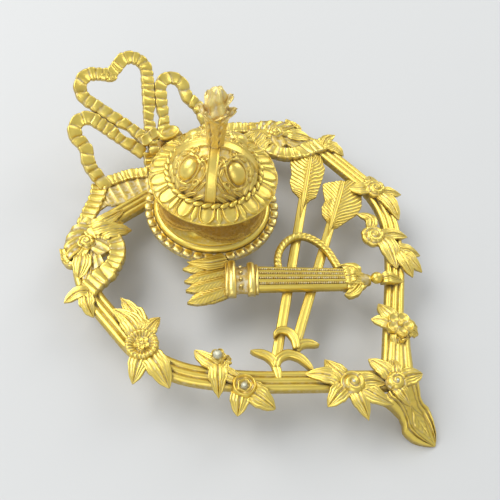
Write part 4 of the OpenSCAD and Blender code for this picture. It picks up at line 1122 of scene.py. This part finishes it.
arrows = {
    "upper": [
        shaft((-36.0, -89.5), (72, -4.6)),
        feather([(37.6, -32.0), (50, -22.3), (63, -12.0), (71, -6)],
                [(38.4, -31.2), (41.8, -27.5), (43.2, -23), (43.6, -18), (47, -12.5), (52, -9),
                 (58, -1.5), (64, 3)], 15, 5.2),
        feather([(38.0, -32.4), (50, -22.8), (63, -12.6), (72, -6)],
                [(38.8, -32.0), (43, -30.2), (47, -29.4), (51, -30.0), (56, -27.0), (62, -23.6),
                 (70, -18.4), (76, -9)], 15, 5.2),
        barb([(71, -5.4), (53.5, -19.2), (33, -35.4)], 1.5, 0.6, -2.2),
        barb([(-37.4, -91.4), (-36.5, -87.4), (-37.5, -83.2), (-41.4, -77.8)], top=0.1),
        barb([(-37.6, -91.4), (-33.4, -89.2), (-28.8, -90.2), (-26.0, -94.2), (-25.2, -99.0),
              (-25.6, -104.6)], top=0.2),
        barb([(-37.0, -89.6), (-38.6, -93.6), (-41.6, -98.2)], 2.0, -0.4)],
    "lower": [
        shaft((-20.6, -87.8), (72, -31.2), top=-0.7),
        feather([(40.4, -50.7), (52, -43.5), (62, -37.3), (71, -31.8)],
                [(41.2, -50.0), (43.2, -46), (44.4, -41), (48, -37.2), (53, -35), (57, -29.5),
                 (60.6, -25.6), (63, -26)], 13, 4.8),
        feather([(40.8, -51.3), (52, -44.1), (62, -38.0), (72, -32)],
                [(41.4, -51.4), (45, -52.6), (50, -52.6), (60, -53), (66, -51), (71, -46.6),
                 (76, -42), (79, -38)], 13, 4.8),
        barb([(71, -31.8), (55, -41.8), (36, -53.6)], 1.5, 0.6, -2.2),
        barb([(-24.2, -91.2), (-21.8, -87.2), (-21.2, -83.0), (-23.0, -79.9), (-26.0, -79.0), (-28.8, -80.2)],
             top=1.9, bottom=-0.8),
        barb([(-24.6, -91.2), (-20.8, -90.4), (-17.2, -92.2), (-14.0, -96.4)])]}
for which, parts in arrows.items():
    fit(casting("arrow_casting_" + which, parts, gilt), "stand", "gilt_brass", "arrow_" + which)

# Quiver
# A half-round quiver of five reeds with beaded fillets between them, two rolled collars with
# studs on the waist between, arrow flights at its mouth, and a leafy end with a ball and leaf.

quiver_dir = math.radians(-38.8)
quiver_mouth = (-13.2, -50.9)
tube_length, mouth_half, end_half = 45, 7.2, 6.0
tube_base, tube_crown = 1.2, 3.4
fillets = (-0.6, -0.2, 0.2, 0.6)


def on_quiver(points):
    """Quiver axes (along, across to its left, up) as metres in the CAD's frame."""
    x, y, z = np.transpose(points)
    c, s = math.cos(quiver_dir), math.sin(quiver_dir)
    return in_frame(np.stack([quiver_mouth[0] + x * c - y * s, quiver_mouth[1] + x * s + y * c, z - 0.6], -1))


tube_x = across(161)
from_fillet = np.min([np.abs(tube_x - f) for f in fillets], axis=0) * 6.8
bundle = rounded(1 - unit((from_fillet - 0.42) / 0.94)) * (from_fillet > 0.42)
# Painted shade off the reeds' tops, darkest along the fillets and the edges
tube_strip = strip(
    np.linspace((0, 0, 0), (tube_length, 0, 0), 60), np.linspace(mouth_half, end_half, 60),
    tube_base + tube_crown * rounded(tube_x) + 0.95 * bundle, 0.0, unit(0.9 - bundle * 2.2))
tube = casting("quiver_tube_casting", [tube_strip], gilt, on_quiver)
fit(tube, "stand", "gilt_brass", "quiver_tube")

fillet_tree, fillet_in, fillet_out = nodes_tree("beaded_fillet", Bead="Object", Beads="Int", Metal="Material")
fillet_stops = add_node(fillet_tree, "GeometryNodeCurveToPoints")
fillet_info = add_node(fillet_tree, "GeometryNodeObjectInfo")
fillet_beads = add_node(fillet_tree, "GeometryNodeInstanceOnPoints")
wire(fillet_tree, (fillet_in, "Geometry", fillet_stops, "Curve"), (fillet_in, "Beads", fillet_stops, "Count"),
     (fillet_in, "Bead", fillet_info, "Object"), (fillet_stops, "Points", fillet_beads, "Points"),
     (fillet_stops, "Rotation", fillet_beads, "Rotation"),
     (fillet_info, "Geometry", fillet_beads, "Instance"))
end_tree(fillet_tree, fillet_in, fillet_beads, "Instances", fillet_out)
pearl = cushion("pearl", 0.55, 0.50, 0.55, 0.0, 2.0, 8)
for number, off in enumerate(fillets):
    lift = tube_base + tube_crown * math.sqrt(1 - off ** 2) + 0.62
    lane = on_quiver([(1.5, -off * mouth_half, lift), (tube_length - 1.5, -off * end_half, lift)])
    thread = curve_object("thread", lane, False)
    string = bake(f"quiver_fillet_{number}", thread, fillet_tree, Bead=pearl, Beads=38, Metal=polished)
    fit(string, "stand", "gilt_brass")
bpy.data.objects.remove(pearl)


def hoop(along_by, thick, half, crown):
    """A rolled collar across the quiver: half length across, crown above the arrows' level."""
    line = walk((along_by, -half), 90, [(2 * half, 0)], 0.35)
    body = (crown - thick) * rounded((line[:, 1] / half)[:, None] * 0.97) ** 0.8
    x = across(17)
    # Painted shade at the collar's edges
    return strip(line, thick, body + thick * rounded(x * 0.98), 0.0, 0.5 * (np.abs(x) > 0.93))


waist_line = walk((-14.2, 0), 0, [(14.4, 0)], 0.5)
waist_half = np.interp(waist_line[:, 0], [-14, -8, 0], [9.0, 7.6, 8.2])
collar_parts = [
    hoop(-3.0, 1.9, 9.2, 6.8), hoop(-12.6, 2.0, 10.2, 6.8),
    hoop(-0.2, 0.8, 8.4, 6.0), hoop(-15.2, 0.8, 9.4, 5.8),
    # The waist between the collars is all in painted shade
    strip(waist_line, waist_half, 0.8 + 3.6 * rounded(across(31)), 0.0, 0.7)]
for y in (-5.6, -1.9, 1.9, 5.6):
    collar_parts.append(stud((-8.3, y), 1.5, 1.3 + 4.6 * math.sqrt(1 - (y / 9.2) ** 2), 1.0, 0.8))
collar = casting("quiver_collar_casting", collar_parts, polished, on_quiver)
fit(collar, "stand", "burnished_brass", "quiver_collar")


def plume(base, tip, width, top):
    """A feather of an arrow's flight: a quill and slanting barbs, closed towards a point."""
    base, tip = np.array(base, float), np.array(tip, float)
    t, x = along(70), across(19)
    mid = base + (tip - base) * t
    heading = math.atan2(*(tip - base)[::-1])
    half = width / 2 * np.interp(t, [0, 0.3, 0.62, 0.82, 0.94, 1], [0.75, 0.95, 1.0, 0.72, 0.30, 0.05])
    xs = mid[:, :1] + half * x * math.sin(heading)
    ys = mid[:, 1:] - half * x * math.cos(heading)
    side = np.abs(x)
    barbs = np.abs(np.cos(math.pi * (t * 11 - side * 2.4)))
    crown = (top - 0.9 * side ** 1.6 + 0.40 * dent(x, 0.13)
             - 0.28 * (1 - barbs ** 0.8) * (side > 0.14) - 1.0 * t ** 3)
    # Painted shade between the barbs, beside the quill and at the edge
    dark = unit(0.6 * (1 - barbs ** 0.6) * (side > 0.15) + 0.5 * pair(x, 0.17, 0.06)) + 0.5 * (side > 0.96)
    return shut(grid(xs, ys, crown), grid(xs, ys, -2.0), unit(dark))


flights = casting("quiver_flights_casting", [
    plume((-18, -34.5), (-37.6, -22.2), 7.4, 1.0), plume((-20.5, -38), (-41.8, -28.8), 7.2, 1.5),
    plume((-23, -42), (-44.6, -33.5), 7.2, 1.7), plume((-26.5, -46), (-48.2, -39.3), 7.8, 1.4),
    plume((-27.5, -47.5), (-43, -42.5), 6.0, 0.6),
    leaf((-17, -32.5), (-33.5, -20.5), 8.5, 1.6, 0.2, bow=0.10, rest=0.6)], gilt)
fit(flights, "stand", "gilt_brass", "quiver_flights")

# The chape: a tapering core under leaves, then a ball between two small hoops and an end leaf
core_line = walk((42, 0), 0, [(15.6, 0)], 0.5)
core_at = along(len(core_line))
core_top = np.interp(core_at, [0, 1], [3.4, 2.6]) * rounded(0.97 * across(15)) + 0.8
ball_rise = np.linspace(0, math.pi, 20)
chape_parts = [
    leaf((43, 0), (59, 0), 9.0, 2.6, 3.2, 0.5, rest=3.4, thick=5.6),
    leaf((50, 0), (40.8, 0), 7.6, 0.7, 5.5, 0.7, narrow=True, rest=5.2, thick=2.4),
    leaf((63.5, 0), (75.9, 0), 6.6, 2.6, 1.0, 0.7, narrow=True, rest=2.6, thick=3.0),
    # The core under the leaves is all in painted shade
    strip(core_line, np.interp(core_at, [0, 0.3, 1], [6.2, 6.0, 3.0]), core_top, 0.0, 0.7),
    hoop(57.6, 0.6, 2.6, 3.5), hoop(64.4, 0.6, 2.0, 3.2),
    turned(np.tile(3.1 * np.sin(ball_rise), (40, 1)), 3.1 - 3.0 * np.cos(ball_rise), 0.05, centre=(61.0, 0))]
for sign in (1, -1):
    chape_parts += [
        leaf((44, 3.6 * sign), (57.5, 2.0 * sign), 6.0, 1.6, 2.6, 0.5, narrow=True, rest=2.4, thick=4.6),
        leaf((52.0, 2.4 * sign), (43.6, 8.8 * sign), 6.2, 2.0, 1.8, 0.5, -0.16 * sign, narrow=True,
             rest=2.4, thick=3.4)]
chape = casting("quiver_chape_casting", chape_parts, gilt, on_quiver)
fit(chape, "stand", "burnished_brass", "quiver_chape")

strap_line = walk((-1, -54.5), 58, [(3, 0), (19, -62), (9.5, -62), (22, -42), (8, 0)], 0.25)
strap_s = run_of(strap_line)[:, None] / 2.6
twist = crimp(math.pi * (strap_s + across(15) * 0.5))
# Painted shade in the twisted strap's grooves
strap_strip = strip(
    strap_line, 1.75 + 0.15 * crimp(math.pi * strap_s),
    1.5 + 1.1 * rounded(across(15) * 0.97) - 0.32 * (1 - twist ** 0.7), -0.6, (1 - twist ** 0.6) * 0.6)
fit(casting("quiver_strap_casting", [strap_strip], gilt), "stand", "gilt_brass", "quiver_strap")

# Feet
# The front foot curves down from the heart's point as a moulded leaf. Two turned feet, spigoted
# into the rods, stand under the lobes and are hardly seen.

foot_line = np.linspace((0, -133.5, -math.pi / 2), (0, -163.4, -math.pi / 2), 64)
down = -foot_line[:, 1:2]
foot_half = np.interp(down, [133.5, 136, 140, 144, 147, 149.5, 151.5, 155, 158, 160, 162, 163.4],
                      [10.0, 11.0, 8.8, 7.2, 7.4, 8.9, 8.6, 7.4, 5.6, 4.0, 2.0, 0.2])
foot_top = np.interp(down, [133.5, 138, 141.5, 145, 150.5, 156.5, 161, 163.4],
                     [0.0, 0.0, -3.4, -8.0, -12.8, -15.6, -17.6, -19.2])
foot_under = np.interp(down, [133.5, 137, 149.5, 155.5, 163.4], [-6, -6, -16.6, -20, -20])
foot_x = across(61)
foot_side = np.abs(foot_x)
diamond_half = np.interp(down, [144, 151, 159, 162], [0.0, 0.42, 0.10, 0.0])
diamond = unit((diamond_half - foot_side) / 0.10)
veins = (1 - crimp(math.pi * (down / 2.6 - foot_side * 3))) ** 2
mould = 0.95 * pair(foot_x, 0.86, 0.08) + 0.75 * pair(foot_x, 0.62, 0.07)
trough = 0.75 * pair(foot_x, 0.74, 0.045) + 0.55 * pair(foot_x, 0.50, 0.05)
palm = diamond * (0.85 - 0.45 * dent(foot_x, 0.05) - 0.30 * veins)
collar_fold = 0.9 * dent(down - 143.0 - 3.0 * foot_side, 0.8) * (foot_side < 0.55)
foot_lift = (mould + palm + collar_fold - trough) * unit((163 - down) / 3) - 5.6 * unit(foot_side - 0.92)
# Painted shade in the troughs, in the veins of the diamond and round its edge
foot_dark = unit(trough * 1.2 + 0.5 * diamond * veins
                 + 0.6 * dent(diamond_half - foot_side, 0.05) * (diamond_half > 0))
foot_strip = strip(foot_line, foot_half, foot_top + foot_lift, foot_under, foot_dark)
fit(casting("front_foot_casting", [foot_strip], gilt), "stand", "gilt_brass", "front_foot")

knob = np.array([(0, -20.0), (3.2, -20.0), (3.6, -19.3), (4.5, -18.3), (4.6, -17.6), (3.6, -16.8), (2.7, -15),
                 (2.4, -12), (2.7, -10), (3.4, -8.6), (4.4, -7.6), (4.5, -6.6), (4.2, -5.9), (0, -5.9)])
# Painted shade in the turned foot's neck
knob = np.column_stack([knob, 0.15 + 0.5 * dent(knob[:, 0] - 2.5, 0.4)])
for side, sign in (("left", -1), ("right", 1)):
    foot = casting("back_foot_turned_" + side, [spun(knob, 64, centre=(60 * sign, 26))], gilt)
    fit(foot, "stand", "gilt_brass", "back_foot_" + side)
